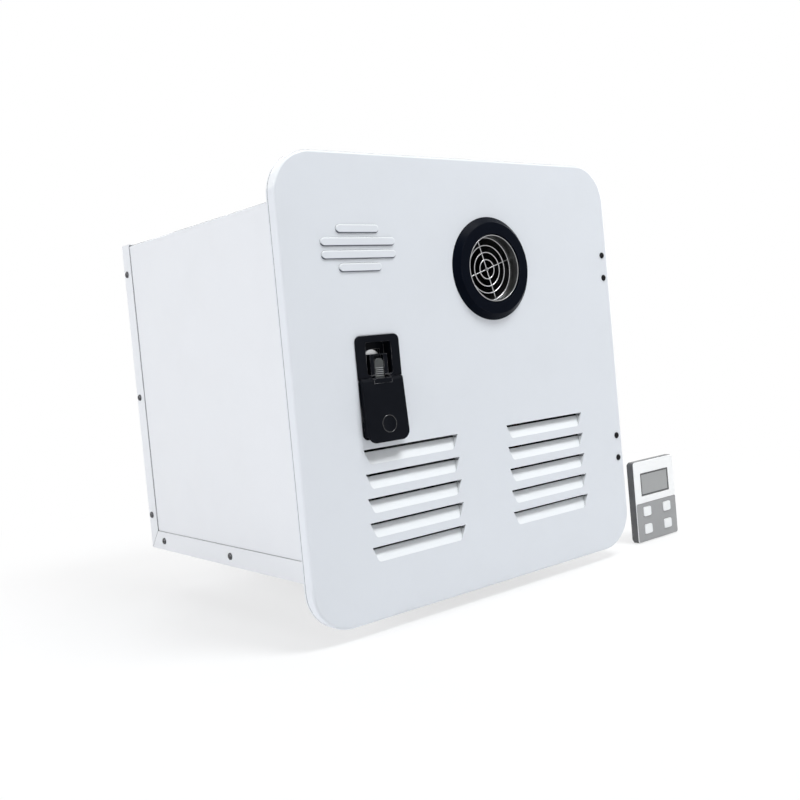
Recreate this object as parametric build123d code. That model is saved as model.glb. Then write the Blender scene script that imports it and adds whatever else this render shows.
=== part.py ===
from build123d import *
from math import cos, radians, sin, sqrt, tan
import os

# A caravan water heater: a steel case that goes into a wall cut-out, a flange that stays
# outside the wall, and a hinged door over it. The origin is the centre of the flange's back
# face, X to the right of someone facing the door, Y into the caravan, Z up. Millimetres.

# Door and flange
door_width = 381
door_height = 381
door_corner_radius = 36
door_depth = 9.4
door_sheet = 1.2
door_edge_radius = 2.5
door_gap = 0.5
flange_thickness = 1.6
flange_collar_depth = 18
flange_shoulder = 0.5
flange_corner_screw_inset = 20.5
flange_middle_screw_inset = 15.5
flange_hole_radius = 2.4
seal_width = 8
seal_inset = 22.5
seal_corner_radius = 20

# Case
case_width = 322
case_height = 322
case_depth = 350
case_sheet = 1
case_bend_radius = 2.5
tray_lip_height = 19
cover_lip_depth = 17
mitre_gap = 0.3
cover_screw_inset = 6.5
cover_screw_height_shares = (0.81, 0, -0.78)
cover_screw_side_shares = (-0.78, 0, 0.78)
tray_screw_depth_shares = (0.09, 0.5, 0.91)
screw_head_radius = 3.3
screw_head_height = 2
screw_head_round = 1
screw_radius = 1.8
screw_length = 7

# Clearances
overrun = 5
loose_gap = 0.3
running_gap = 0.05
hole_gap = 0.15

# Louvres and ribs pressed in the door
louvre_width = 101.4
louvre_height = 12.5
louvre_depth = 6.5
louvre_slot = 2.6
louvre_end_slope = 5.5
louvre_corner_radius = 4
louvre_pitch = 20
louvre_count = 5
louvre_top = -50.5
louvre_middle = 1.2
louvre_bank_offset = 80.4
rib_height = 7.1
rib_pitch = 10.4
rib_lengths = (42.5, 74, 74, 42.5)
rib_x = -116
rib_top = 128.2
rib_proud = 1.3
rib_edge_radius = 1.1

# Exhaust: tube, guard and ring
flue_x = 29
flue_z = 92.5
flue_radius = 30
flue_wall = 0.8
flue_proud = 4.5
ring_radius = 46.5
ring_face_radius = 41
ring_proud = 5.5
ring_gap = 0.9
ring_spigot_radius = 42
ring_spigot_depth = 3.5
ring_spigot_wall = 2
guard_wire = 1.05
guard_inset = 9.6
guard_ring_radii = (8.7, 15.3, 21.6)
guard_hub = 3.2
guard_turn = 17

# Hinges
hinge_height = 36
hinge_offset = 90.7
hinge_pin_inset = 2.3
hinge_pin_standoff = 3
hinge_pin_radius = 1.2
hinge_knuckle_radius = 2.1
hinge_leaf_width = 12.5
hinge_frame_leaf_width = 16.7
hinge_door_leaf_thickness = 1.5
hinge_frame_leaf_thickness = 1.8
hinge_knuckle_share = 0.25
hinge_screw_inset = 8.2
hinge_screw_pitch = 22.4
hinge_screw_head_radius = 3
hinge_screw_head_height = 1.5
hinge_screw_radius = 1.5

# Latch
latch_x = -107
latch_width = 44
latch_top = 41.5
latch_bottom = -43
latch_radius = 5
latch_proud = 1.8
latch_low_proud = 0.8
latch_body_inset = 3.5
latch_body_depth = 8.5
latch_wall = 1.5
latch_step_z = 7
latch_edge_radius = 0.6
recess_width = 26
recess_top = 36
recess_bottom = 9
recess_radius = 2.5
guide_width = 17.5
guide_top = 26
guide_low = 0.8
guide_wall = 1
channel_width = 10
channel_depth = 3.4
tab_width = 9
tab_top = 22.3
tab_length = 17.1
tab_thickness = 3
tab_round = 3.6
tab_groove_count = 4
tab_groove_pitch = 1.6
tab_groove_low = 3.4
tab_groove_depth = 0.5
tab_groove_width = 0.5
tab_travel = 8
stem_width = 4
stem_height = 6
bolt_width = 16
bolt_top = 30
bolt_bottom = -14
bolt_sheet = 1.5
bolt_reach = 13.2
bolt_lip = 8
flap_bottom = -46
flap_side_inset = 1
flap_thickness = 3.4
flap_low_thickness = 6.5
flap_skin = 1.6
flap_root = 9
flap_finger_gap = 5.5
flap_corner_radius = 8
flap_edge_radius = 1
flap_pin_radius = 0.8
flap_pin_inset = 0.8
flap_pin_reach = 17.5
flap_shoulder_drop = 1.2
flap_shoulder_turn = 29
lug_radius = 1.7
lug_width = 3.7
lug_web_rise = 0.5
hood_thickness = 1
hood_rise = 1
dish_radius = 7
dish_depth = 0.8
dish_offset = 1
dish_z = -31.5
strike_sheet = 2
strike_height = 16
strike_top = -24
strike_y = 6
strike_foot_depth = 12

# Burner, heat exchanger and hood, stacked over the fan
stack_pipe_leg = 2.84
stack_front_share = 0.2
stack_depth_share = 0.4
stack_sheet = 1.5
burner_bottom = -70
burner_height = 65
exchanger_height = 65
hood_height = 68
hood_sheet = 1.2
hood_bend_radius = 4
burner_bar_count = 8
burner_bar_width = 11
burner_bar_height = 30
burner_bar_lift = 12
water_tube_radius = 7
water_tube_pitch = 32
water_tube_count = 4
water_tube_drop = 20
water_tube_reach = 5
fin_count = 9
fin_thickness = 1.2
fin_height = 44
fin_gap = 4
leg_sheet = 1.5
leg_inset = 12
thermostat_radius = 9
thermostat_height = 6
thermostat_spacing = 50

# Fan
fan_z = -116
fan_setback = 25
fan_width = 46
scroll_radius = 42
scroll_sheet = 1.2
scroll_outlet_width = 44
fan_inlet_radius = 25
rotor_radius = 32
rotor_blade_depth = 6
rotor_blade_thickness = 1
rotor_blade_count = 20
rotor_plate = 2
rotor_side_gap = 3
rotor_hub_radius = 6
shaft_radius = 2.5
shaft_hole_radius = 5
motor_radius = 19
motor_length = 34
motor_flange_radius = 24
motor_flange_thickness = 2
foot_width = 12
foot_spread = 34

# Gas
valve_inset = 49
valve_z = -120
gas_pipe_radius = 5
gas_bend_radius = 12
gas_feed_inset = 10
valve_width = 46
valve_height = 44
valve_depth = 60
valve_setback = 20
valve_edge_radius = 4
solenoid_radius = 10
solenoid_height = 16
solenoid_spacing = 26
manifold_size = 12
manifold_edge_radius = 1.5
manifold_gap = 10
manifold_z = -52
jet_radius = 2.5
jet_length = 8.5
gas_thread_radius = 8

# Water
hot_inset = 19
hot_z = -135
cold_spacing = 45
cold_z = -125
riser_gap = 25
water_bend_radius = 13
water_thread_radius = 10.5
fitting_bore_radius = 5.5
fitting_thread_length = 24
fitting_neck_share = 1.03
fitting_collar_radius = 15
fitting_collar_length = 5
fitting_inside_length = 14
fitting_step = 1
fitting_socket = 2.5
sensor_radius = 14
sensor_length = 46
sensor_chamfer = 2
sensor_boss_radius = 9
sensor_boss_height = 7

# Control box and electrics
box_gap = 4
box_height = 140
box_bottom = -20
box_front = 60
box_depth = 50
box_wall = 2
box_radius = 4
lid_thickness = 3
lid_lip = 2
relay_count = 3
relay_size = 15
relay_low = 26.4
relay_pitch = 26.4
rocker_width = 13
rocker_height = 19
rocker_z = 5
rocker_pin_depth = 1.8
rocker_gap = 0.4
rocker_pin_radius = 1
rocker_pin_reach = 1.8
switch_depth = 10
rocker_frame = 3
rocker_frame_proud = 1.2
rocker_tilt = 10
grommet_x = -50
grommet_z = -120
grommet_radius = 11
grommet_bore_radius = 5
grommet_groove = 8
grommet_thickness = 6
electrode_radius = 3
electrode_wire_radius = 0.8
electrode_length = 26
electrode_inside = 10
electrode_terminal = 5
electrode_wire_length = 22
electrode_z = -24
electrode_spacing = 30
electrode_plate_height = 14
electrode_plate_margin = 12
spark_width = 30
spark_depth = 42
spark_height = 38
spark_z = 70
spark_edge_radius = 4

# Wired controller, which stands by itself beside the heater
controller_x = 258
controller_z = -158
controller_front = 5
controller_width = 68
controller_height = 86
controller_radius = 3
controller_shell_depth = 7.5
controller_face_thickness = 2.2
controller_wall = 1.8
controller_board_thickness = 1.2
controller_edge_radius = 1
back_plate_thickness = 2
back_plate_inset = 1.2
back_plate_lip = 1.2
back_screw_pitch = 60
back_screw_radius = 2
screen_width = 47
screen_height = 24.5
screen_drop = 12.8
screen_thickness = 1.2
screen_radius = 1
keypad_height = 42.2
keypad_thickness = 1.4
keypad_inset = 0.8
keypad_groove = 1.1
button_width = 12.5
button_height = 10
button_radius = 2
button_spacing = 33.3
button_pitch = 18.7
button_drop = 10.25
button_proud = 1
button_gap = 0.3
button_stem = 5.2
button_flange = 1.2
button_flange_thickness = 1

# Places worked out from the sizes above
door_back = -(flange_thickness + door_gap)
door_front = door_back - door_depth
door_inside = door_front + door_sheet
door_half = door_width / 2
shell_half = case_width / 2 - case_sheet
inside_half = shell_half - case_sheet
shell_top = case_height / 2 - case_sheet
inside_top = shell_top - case_sheet
floor_bottom = -case_height / 2
floor_top = floor_bottom + case_sheet
cover_inside = case_depth - case_sheet
collar_half = inside_half - flange_thickness
hinge_pin_x = door_half - hinge_pin_inset
hinge_pin_y = -flange_thickness - hinge_pin_standoff
hinge_knuckle = hinge_height * hinge_knuckle_share
hinge_middle = hinge_height / 2 - hinge_knuckle
hinge_screw_x = door_half - hinge_screw_inset
hinge_side_back = hinge_pin_y + sqrt((hinge_pin_standoff - loose_gap) ** 2 - hinge_pin_inset**2)
stack_front = case_depth * stack_front_share
stack_depth = case_depth * stack_depth_share
stack_back = stack_front + stack_depth
hot_x = inside_half - hot_inset
cold_x = hot_x - cold_spacing
stack_right = hot_x - water_bend_radius - stack_pipe_leg - water_tube_reach
stack_width = 2 * (stack_right - flue_x)
stack_left = stack_right - stack_width
burner_top = burner_bottom + burner_height
exchanger_top = burner_top + exchanger_height
hood_top = exchanger_top + hood_height
latch_face = door_front - latch_proud
latch_low_face = door_front - latch_low_proud
latch_back = door_front + latch_body_depth
guide_face = latch_face + guide_low
channel_floor = guide_face + channel_depth
tab_face = guide_face + loose_gap
tab_back = tab_face + tab_thickness
flap_back = latch_low_face - loose_gap
flap_front = flap_back - flap_thickness
flap_low_front = flap_back - flap_low_thickness
flap_left = latch_x - latch_width / 2 + flap_side_inset
flap_right = latch_x + latch_width / 2 - flap_side_inset
flap_pin_y = flap_back - flap_pin_inset
flap_pin_z = latch_step_z - loose_gap - lug_radius
flap_face_top = flap_pin_z - flap_shoulder_drop
hood_radius = lug_radius + loose_gap + hood_thickness
bolt_front = latch_back + loose_gap
bolt_back = bolt_front + bolt_sheet
latch_rear = bolt_back + loose_gap + latch_wall
fan_front = stack_front + fan_setback
valve_x = valve_inset - inside_half
valve_front = stack_front + valve_setback
riser_y = stack_back + riser_gap
box_left = -inside_half
box_right = stack_left - water_tube_reach - water_tube_pitch / 2 - water_tube_radius - box_gap
box_middle = (box_left + box_right) / 2
valve_back = valve_front + valve_depth
screen_z = controller_z + controller_height / 2 - screen_drop - screen_height / 2
keypad_top = controller_z - controller_height / 2 + keypad_height


def block(x, y, z):
    """A box between a low and a high value along each axis."""
    return Pos((x[0] + x[1]) / 2, (y[0] + y[1]) / 2, (z[0] + z[1]) / 2) * Box(
        x[1] - x[0], y[1] - y[0], z[1] - z[0]
    )


def slab(outline, y_front, y_back):
    """An outline drawn in X and Z, given a thickness along Y."""
    plane = Plane(origin=(0, y_back, 0), x_dir=(1, 0, 0), z_dir=(0, -1, 0))
    return extrude(plane * outline, amount=y_back - y_front)


def side_plate(points, x_left, x_right):
    """An outline drawn in Y and Z, given a thickness along X."""
    outline = Plane.YZ.offset(x_left) * make_face(Polyline(*points, close=True))
    return extrude(outline, amount=x_right - x_left)


def rod_x(radius, y, z, x_left, x_right):
    return extrude(Plane.YZ.offset(x_left) * (Pos(y, z) * Circle(radius)), amount=x_right - x_left)


def rod_y(radius, x, z, y_front, y_back):
    return slab(Pos(x, z) * Circle(radius), y_front, y_back)


def rod_z(radius, x, y, z_low, z_high):
    return extrude(Plane.XY.offset(z_low) * (Pos(x, y) * Circle(radius)), amount=z_high - z_low)


def turned(points, x, z):
    """A ring or sleeve: (radius, y) points turned about an axis along Y."""
    return Pos(x, 0, z) * revolve(make_face(Polyline(*points, close=True)), axis=Axis.Y)


def pipe(points, radius, bend):
    path = FilletPolyline(*points, radius=bend)
    return sweep(Plane(origin=path @ 0, z_dir=path % 0) * Circle(radius), path=path)


def screw(place, outward, head_radius, head_height, radius, length):
    """A screw with its head's seat at place and its head on the outward side."""
    head = Cylinder(head_radius, head_height, align=(Align.CENTER, Align.CENTER, Align.MIN))
    head = fillet(head.edges().sort_by(Axis.Z)[-1], head_height * screw_head_round / screw_head_height)
    shank = Cylinder(radius, length, align=(Align.CENTER, Align.CENTER, Align.MAX))
    return Plane(origin=place, z_dir=outward).location * (head + shank)


def save(node, *pieces):
    solids = [solid for piece in pieces for solid in piece.solids()]
    shape = solids[0] if len(solids) == 1 else Compound(children=solids)
    shape.label = node
    export_step(shape, f"parts/{node}.step")


def case_screw_places():
    """Seats of the casing screws: down each side of the rear cover and the tray, and on top."""
    places = []
    rear_y = case_depth - cover_screw_inset
    for side in (-1, 1):
        for share in cover_screw_height_shares:
            places.append(((side * case_width / 2, rear_y, share * case_height / 2), (side, 0, 0)))
        for share in tray_screw_depth_shares:
            low_z = floor_bottom + tray_lip_height / 2
            places.append(((side * case_width / 2, share * case_depth, low_z), (side, 0, 0)))
    for share in cover_screw_side_shares:
        places.append(((share * case_width / 2, rear_y, case_height / 2), (0, 0, 1)))
    return places


def case_screw_holes():
    holes = []
    for place, outward in case_screw_places():
        hole = Cylinder(screw_radius + hole_gap, 2 * screw_length)
        holes.append(Plane(origin=place, z_dir=outward).location * hole)
    return holes


def rear_openings():
    """Holes in the rear cover for the water, gas and cable connections."""
    sizes = (
        (cold_x, cold_z, water_thread_radius * fitting_neck_share),
        (hot_x, hot_z, water_thread_radius * fitting_neck_share),
        (valve_x, valve_z, gas_thread_radius * fitting_neck_share),
        (grommet_x, grommet_z, grommet_groove),
    )
    return [
        rod_y(radius + hole_gap, x, z, cover_inside - overrun, case_depth + overrun)
        for x, z, radius in sizes
    ]


def case_shell():
    """Sides and top folded from one sheet."""
    outer = block((-shell_half, shell_half), (flange_shoulder, cover_inside), (floor_top, shell_top))
    outer = fillet(outer.edges().filter_by(Axis.Y).group_by(Axis.Z)[-1], case_bend_radius)
    inner = block(
        (-inside_half, inside_half),
        (-overrun, cover_inside + overrun),
        (floor_top - overrun, inside_top),
    )
    inner = fillet(inner.edges().filter_by(Axis.Y).group_by(Axis.Z)[-1], case_bend_radius - case_sheet)
    return outer - inner - case_screw_holes()


def bottom_tray():
    """Floor with a lip folded up outside each side, mitred at the rear corner."""
    sides = (-case_width / 2, case_width / 2)
    floor = block(sides, (flange_shoulder, case_depth), (floor_bottom, floor_top))
    lip_top = floor_bottom + tray_lip_height
    lip = (
        (flange_shoulder, floor_bottom),
        (case_depth - mitre_gap, floor_bottom),
        (case_depth - cover_lip_depth - mitre_gap, lip_top),
        (flange_shoulder, lip_top),
    )
    tray = floor
    tray += side_plate(lip, shell_half, case_width / 2)
    tray += side_plate(lip, -case_width / 2, -shell_half)
    return tray - case_screw_holes()


def rear_cover():
    """Back plate with lips folded forward outside the shell."""
    top = case_height / 2
    cover = block((-case_width / 2, case_width / 2), (cover_inside, case_depth), (floor_top, top))
    lip_front = case_depth - cover_lip_depth
    lip = (
        (case_depth, floor_top),
        (case_depth, top),
        (lip_front, top),
        (lip_front, floor_bottom + tray_lip_height + mitre_gap),
        (case_depth - case_sheet, floor_top + mitre_gap),
    )
    cover += side_plate(lip, shell_half, case_width / 2)
    cover += side_plate(lip, -case_width / 2, -shell_half)
    cover += block((-case_width / 2, case_width / 2), (lip_front, case_depth), (shell_top, top))
    return cover - case_screw_holes() - rear_openings()


def case_screws():
    sizes = (screw_head_radius, screw_head_height, screw_radius, screw_length)
    return [screw(place, outward, *sizes) for place, outward in case_screw_places()]


def flange_screw_places():
    corner_x = door_half - flange_corner_screw_inset
    corner_z = door_height / 2 - flange_corner_screw_inset
    corners = [(x, z) for x in (-corner_x, corner_x) for z in (-corner_z, corner_z)]
    side = door_half - flange_middle_screw_inset
    end = door_height / 2 - flange_middle_screw_inset
    return corners + [(-side, 0), (side, 0), (0, -end), (0, end)]


def mounting_flange():
    """Face frame that lies on the caravan's wall, and a collar that goes inside the case."""
    face = slab(RectangleRounded(door_width, door_height, door_corner_radius), -flange_thickness, 0)
    side = case_width / 2 + loose_gap
    end = case_height / 2 + loose_gap
    face += block((-side, side), (-flange_thickness, flange_shoulder), (-end, end))
    sides = (-inside_half, inside_half)
    collar = block(sides, (-flange_thickness, flange_collar_depth), (floor_top, inside_top))
    collar = fillet(collar.edges().filter_by(Axis.Y), case_bend_radius)
    opening = block(
        (-collar_half, collar_half),
        (-overrun, flange_collar_depth + overrun),
        (floor_top + flange_thickness, inside_top - flange_thickness),
    )
    opening = fillet(opening.edges().filter_by(Axis.Y), case_bend_radius - case_sheet)
    holes = [
        rod_y(flange_hole_radius, x, z, -overrun, overrun) for x, z in flange_screw_places()
    ]
    return face + collar - opening - holes


def louvre_outline(margin):
    """Widest at the slot, with sloping ends and round lower corners."""
    top = louvre_width / 2 + margin
    foot = top - louvre_end_slope
    low = -louvre_height - margin
    corners = ((-top, 0), (top, 0), (foot, low), (-foot, low))
    outline = make_face(Polyline(*corners, close=True))
    return fillet(outline.vertices().group_by(Axis.Y)[0], louvre_corner_radius + margin)


def louvre_wedge(x, top, margin):
    """The space in front of a slope that falls inward from the louvre's foot to its slot."""
    foot = top - louvre_height - margin
    slope = (
        (door_front - overrun, foot),
        (door_front + margin, foot),
        (door_front + margin + louvre_depth, top),
        (door_front - overrun, top),
    )
    half = louvre_width / 2 + margin
    wedge = side_plate(slope, x - half, x + half)
    outline = Pos(x, top) * louvre_outline(margin)
    return wedge & slab(outline, door_front - overrun, door_front + 2 * louvre_depth)


def louvre_places():
    places = []
    for side in (-1, 1):
        for row in range(louvre_count):
            x = louvre_middle + side * louvre_bank_offset
            places.append((x, louvre_top - row * louvre_pitch))
    return places


def louvre_scoop(x, top):
    """The pressed-in metal of one louvre, open along its top."""
    outer = louvre_wedge(x, top, door_sheet)
    half = louvre_width / 2
    reach = (x - louvre_width, x + louvre_width)
    in_front = block(reach, (door_front - 2 * overrun, door_front), (-door_height, door_height))
    slot_z = (top - louvre_slot, top + overrun)
    slot = block((x - half, x + half), (door_front, door_front + 2 * louvre_depth), slot_z)
    return outer - louvre_wedge(x, top, 0) - slot - in_front


def ribs():
    """Four long raised beads."""
    beads = []
    for row, length in enumerate(rib_lengths):
        place = Pos(rib_x, rib_top - row * rib_pitch)
        bead = slab(place * SlotOverall(length, rib_height), door_front - rib_proud, door_front)
        beads.append(fillet(bead.edges().group_by(Axis.Y)[0], rib_edge_radius))
    return beads


def door_outline(margin):
    return RectangleRounded(
        door_width - 2 * margin, door_height - 2 * margin, door_corner_radius - margin
    )


def hinge_places():
    return [-hinge_offset, hinge_offset]


def hinge_screw_heights():
    return [z + turn * hinge_screw_pitch / 2 for z in hinge_places() for turn in (-1, 1)]


def door_panel():
    """Pressed steel pan with louvres, beads and the holes for ring, latch and hinges."""
    pan = slab(door_outline(0), door_front, door_back)
    pan = fillet(pan.edges().group_by(Axis.Y)[0], door_edge_radius)
    pan -= slab(door_outline(door_sheet), door_inside, door_back + overrun)
    pan += ribs()
    for x, top in louvre_places():
        pan -= louvre_wedge(x, top, 0)
    for x, top in louvre_places():
        pan += louvre_scoop(x, top)
    pan -= rod_y(ring_spigot_radius + loose_gap, flue_x, flue_z, door_front - overrun, door_back)
    pan -= slab(latch_body_outline(loose_gap), door_front - overrun, door_back)
    far = door_height / 2
    edge = (hinge_pin_x, door_half + overrun)
    pan -= block(edge, (hinge_side_back, door_back + overrun), (-far, far))
    knuckle_reach = hinge_knuckle_radius + 2 * loose_gap
    for z in hinge_places():
        half = hinge_height / 2 + loose_gap
        notch = (door_half - door_sheet - loose_gap, door_half + overrun)
        pan -= block(notch, (hinge_pin_y - knuckle_reach, door_back + overrun), (z - half, z + half))
    for z in hinge_screw_heights():
        pan -= rod_y(hinge_screw_radius + hole_gap, hinge_screw_x, z, door_front - overrun, door_back)
    return pan


def door_seal():
    """Foam strip inside the door that closes on the flange round the opening."""
    width = door_width - 2 * seal_inset
    height = door_height - 2 * seal_inset
    outline = RectangleRounded(width, height, seal_corner_radius)
    outline -= RectangleRounded(
        width - 2 * seal_width, height - 2 * seal_width, seal_corner_radius - seal_width
    )
    return slab(outline, door_inside, -flange_thickness - loose_gap)


def exhaust_ring():
    """Black moulded surround: sloping edge, flat face and a spigot through the door."""
    face = door_front - ring_proud
    bore = flue_radius + ring_gap
    points = (
        (bore, face),
        (ring_face_radius, face),
        (ring_radius, door_front),
        (ring_spigot_radius, door_front),
        (ring_spigot_radius, door_front + ring_spigot_depth),
        (ring_spigot_radius - ring_spigot_wall, door_front + ring_spigot_depth),
        (ring_spigot_radius - ring_spigot_wall, door_front),
        (bore + ring_spigot_wall, door_front),
        (bore, door_front - ring_spigot_wall),
    )
    return turned(points, flue_x, flue_z)


def flue_tube():
    rim = door_front - flue_proud
    points = (
        (flue_radius - flue_wall, rim),
        (flue_radius, rim),
        (flue_radius, stack_front + hood_sheet),
        (flue_radius - flue_wall, stack_front + hood_sheet),
    )
    return turned(points, flue_x, flue_z)


def flue_guard():
    """Rings and two bars, crossing in a square hub, inside the mouth of the tube."""
    front = door_front - flue_proud + guard_inset
    back = front + guard_wire
    outer = flue_radius - flue_wall - 2 * running_gap
    rings = Circle(outer) - Circle(outer - guard_wire)
    for radius in guard_ring_radii:
        rings += Circle(radius + guard_wire / 2) - Circle(radius - guard_wire / 2)
    bars = Rectangle(2 * outer - guard_wire, guard_wire) + Rectangle(guard_wire, 2 * outer - guard_wire)
    bars += Rectangle(guard_hub, guard_hub)
    return slab(Pos(flue_x, flue_z) * Rot(0, 0, guard_turn) * (rings + bars), front, back)


def hinge_bore(z):
    half = hinge_height / 2 + overrun
    return rod_z(hinge_pin_radius + running_gap, hinge_pin_x, hinge_pin_y, z - half, z + half)


def hinge_door_leaf(z):
    """Plate inside the door, with the middle knuckle."""
    right = door_half - door_sheet - loose_gap
    half = hinge_height / 2
    middle = hinge_middle - loose_gap
    plate_back = door_inside + hinge_door_leaf_thickness
    leaf = block((right - hinge_leaf_width, right), (door_inside, plate_back), (z - half, z + half))
    web = (hinge_pin_x - hinge_knuckle_radius, right)
    leaf += block(web, (door_inside, hinge_pin_y), (z - middle, z + middle))
    leaf += rod_z(hinge_knuckle_radius, hinge_pin_x, hinge_pin_y, z - middle, z + middle)
    hole_radius = hinge_screw_radius + running_gap
    for turn in (-1, 1):
        hole_z = z + turn * hinge_screw_pitch / 2
        leaf -= rod_y(hole_radius, hinge_screw_x, hole_z, door_front, plate_back + overrun)
    return leaf - hinge_bore(z)


def hinge_frame_leaf(z):
    """Plate on the flange, with the two end knuckles."""
    half = hinge_height / 2
    middle = hinge_middle + loose_gap
    y = (-flange_thickness - hinge_frame_leaf_thickness, -flange_thickness)
    left = hinge_pin_x - hinge_frame_leaf_width
    leaf = block((left, hinge_pin_x), y, (z - half, z + half))
    relief = (hinge_pin_x - hinge_knuckle_radius - loose_gap, hinge_pin_x + overrun)
    leaf -= block(relief, (y[0] - overrun, y[1] + overrun), (z - middle, z + middle))
    for low in (z - half, z + middle - loose_gap):
        knuckle = (low, low + hinge_knuckle)
        leaf += rod_z(hinge_knuckle_radius, hinge_pin_x, hinge_pin_y, *knuckle)
    return leaf - hinge_bore(z)


def hinge_pin(z):
    half = hinge_height / 2
    return rod_z(hinge_pin_radius, hinge_pin_x, hinge_pin_y, z - half, z + half)


def hinge_screws():
    length = door_sheet + hinge_door_leaf_thickness
    sizes = (hinge_screw_head_radius, hinge_screw_head_height, hinge_screw_radius, length)
    return [
        screw((hinge_screw_x, door_front, z), (0, -1, 0), *sizes) for z in hinge_screw_heights()
    ]


def latch_body_outline(margin):
    width = latch_width - 2 * latch_body_inset + 2 * margin
    height = latch_top - latch_bottom - 2 * latch_body_inset + 2 * margin
    return Pos(latch_x, (latch_top + latch_bottom) / 2) * RectangleRounded(width, height, latch_radius)


def latch_lug(side):
    """Ear at one side of the slider's channel that carries a flap pin."""
    inner = latch_x + side * channel_width / 2
    outer = inner + side * lug_width
    x = (min(inner, outer), max(inner, outer))
    lug = rod_x(lug_radius, flap_pin_y, flap_pin_z, *x)
    web_z = (flap_pin_z - lug_radius, flap_pin_z + lug_web_rise)
    lug += block(x, (flap_pin_y, latch_back), web_z)
    return lug - rod_x(flap_pin_radius + running_gap, flap_pin_y, flap_pin_z, *x)


def slider_channel():
    """Room in the guide for the slider, and the slot for its stem."""
    x = (latch_x - channel_width / 2, latch_x + channel_width / 2)
    low_end = tab_top - tab_length - tab_travel - loose_gap
    channel = block(x, (latch_face - overrun, channel_floor), (low_end, guide_top - guide_wall))
    half = stem_width / 2 + loose_gap
    stem_top = tab_top - tab_length / 2 + stem_height / 2 + loose_gap
    stem_low = stem_top - stem_height - tab_travel - 2 * loose_gap
    slot_y = (channel_floor - overrun, latch_back)
    return channel + block((latch_x - half, latch_x + half), slot_y, (stem_low, stem_top))


def bolt_pocket():
    """Room for the bolt in the back of the latch body, open at the bottom."""
    half = bolt_width / 2 + loose_gap
    x = (latch_x - half, latch_x + half)
    low = latch_bottom - overrun
    pocket = block(x, (latch_back, bolt_back + loose_gap), (low, bolt_top + loose_gap))
    shelf_top = bolt_bottom + bolt_sheet + loose_gap
    return pocket + block(x, (latch_back, latch_rear + overrun), (low, shelf_top))


def latch_bezel():
    """Moulded latch frame: a rim on the door, a body through it, the finger recess and guide."""
    left = latch_x - latch_width / 2
    right = latch_x + latch_width / 2
    middle_z = (latch_top + latch_bottom) / 2
    height = latch_top - latch_bottom
    outline = Pos(latch_x, middle_z) * RectangleRounded(latch_width, height, latch_radius)
    rim = slab(outline, latch_face, door_front)
    rim = fillet(rim.edges().group_by(Axis.Y)[0], latch_edge_radius)
    low = (latch_bottom - overrun, latch_step_z)
    rim -= block((left - overrun, right + overrun), (latch_face - overrun, latch_low_face), low)
    bezel = rim + slab(latch_body_outline(0), door_front, latch_rear)
    recess_height = recess_top - recess_bottom
    recess = RectangleRounded(recess_width, recess_height, recess_radius)
    recess = Pos(latch_x, recess_bottom + recess_height / 2) * recess
    bezel -= slab(recess, latch_face - overrun, latch_back)
    bezel -= bolt_pocket()
    guide = (latch_x - guide_width / 2, latch_x + guide_width / 2)
    bezel += block(guide, (guide_face, latch_back), (latch_step_z, guide_top))
    bezel -= rod_x(lug_radius + loose_gap, flap_pin_y, flap_pin_z, left - overrun, right + overrun)
    notch = flap_notch_half() + loose_gap
    bezel -= rod_x(hood_radius + loose_gap, flap_pin_y, flap_pin_z, latch_x - notch, latch_x + notch)
    for side in (-1, 1):
        bezel += latch_lug(side)
    return bezel - slider_channel()


def flap_notch_half():
    """Half the width of the flap's part that wraps the lugs."""
    return channel_width / 2 + lug_width + loose_gap


def flap_pins():
    """A short pin through each lug into the flap."""
    pins = []
    for side in (-1, 1):
        inner = latch_x + side * channel_width / 2
        outer = latch_x + side * flap_pin_reach
        ends = (min(inner, outer), max(inner, outer))
        pins.append(rod_x(flap_pin_radius, flap_pin_y, flap_pin_z, *ends))
    return pins


def flap_hollow():
    """The space inside the flap, and a gap under its lower edge for the fingers."""
    profile = (
        (flap_back + overrun, flap_pin_z - flap_root),
        (flap_front + flap_skin, flap_pin_z - flap_root),
        (flap_low_front + flap_skin, flap_bottom),
        (flap_back + overrun, flap_bottom),
    )
    hollow = side_plate(profile, flap_left + flap_skin, flap_right - flap_skin)
    ends = (flap_left - overrun, flap_right + overrun)
    gap_y = (flap_low_front + flap_skin + loose_gap, flap_back + overrun)
    return hollow + block(ends, gap_y, (flap_bottom - overrun, flap_bottom + flap_finger_gap))


def thumb_dish():
    """Ball that leaves a shallow round dish square to the flap's leaning face."""
    rise = flap_low_thickness - flap_thickness
    run = flap_face_top - flap_bottom
    length = sqrt(rise**2 + run**2)
    ball_radius = (dish_radius**2 + dish_depth**2) / (2 * dish_depth)
    out = ball_radius - dish_depth
    face_y = flap_low_front + rise * (dish_z - flap_bottom) / run
    place = Pos(latch_x + dish_offset, face_y - out * run / length, dish_z + out * rise / length)
    return place * Sphere(ball_radius)


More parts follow.
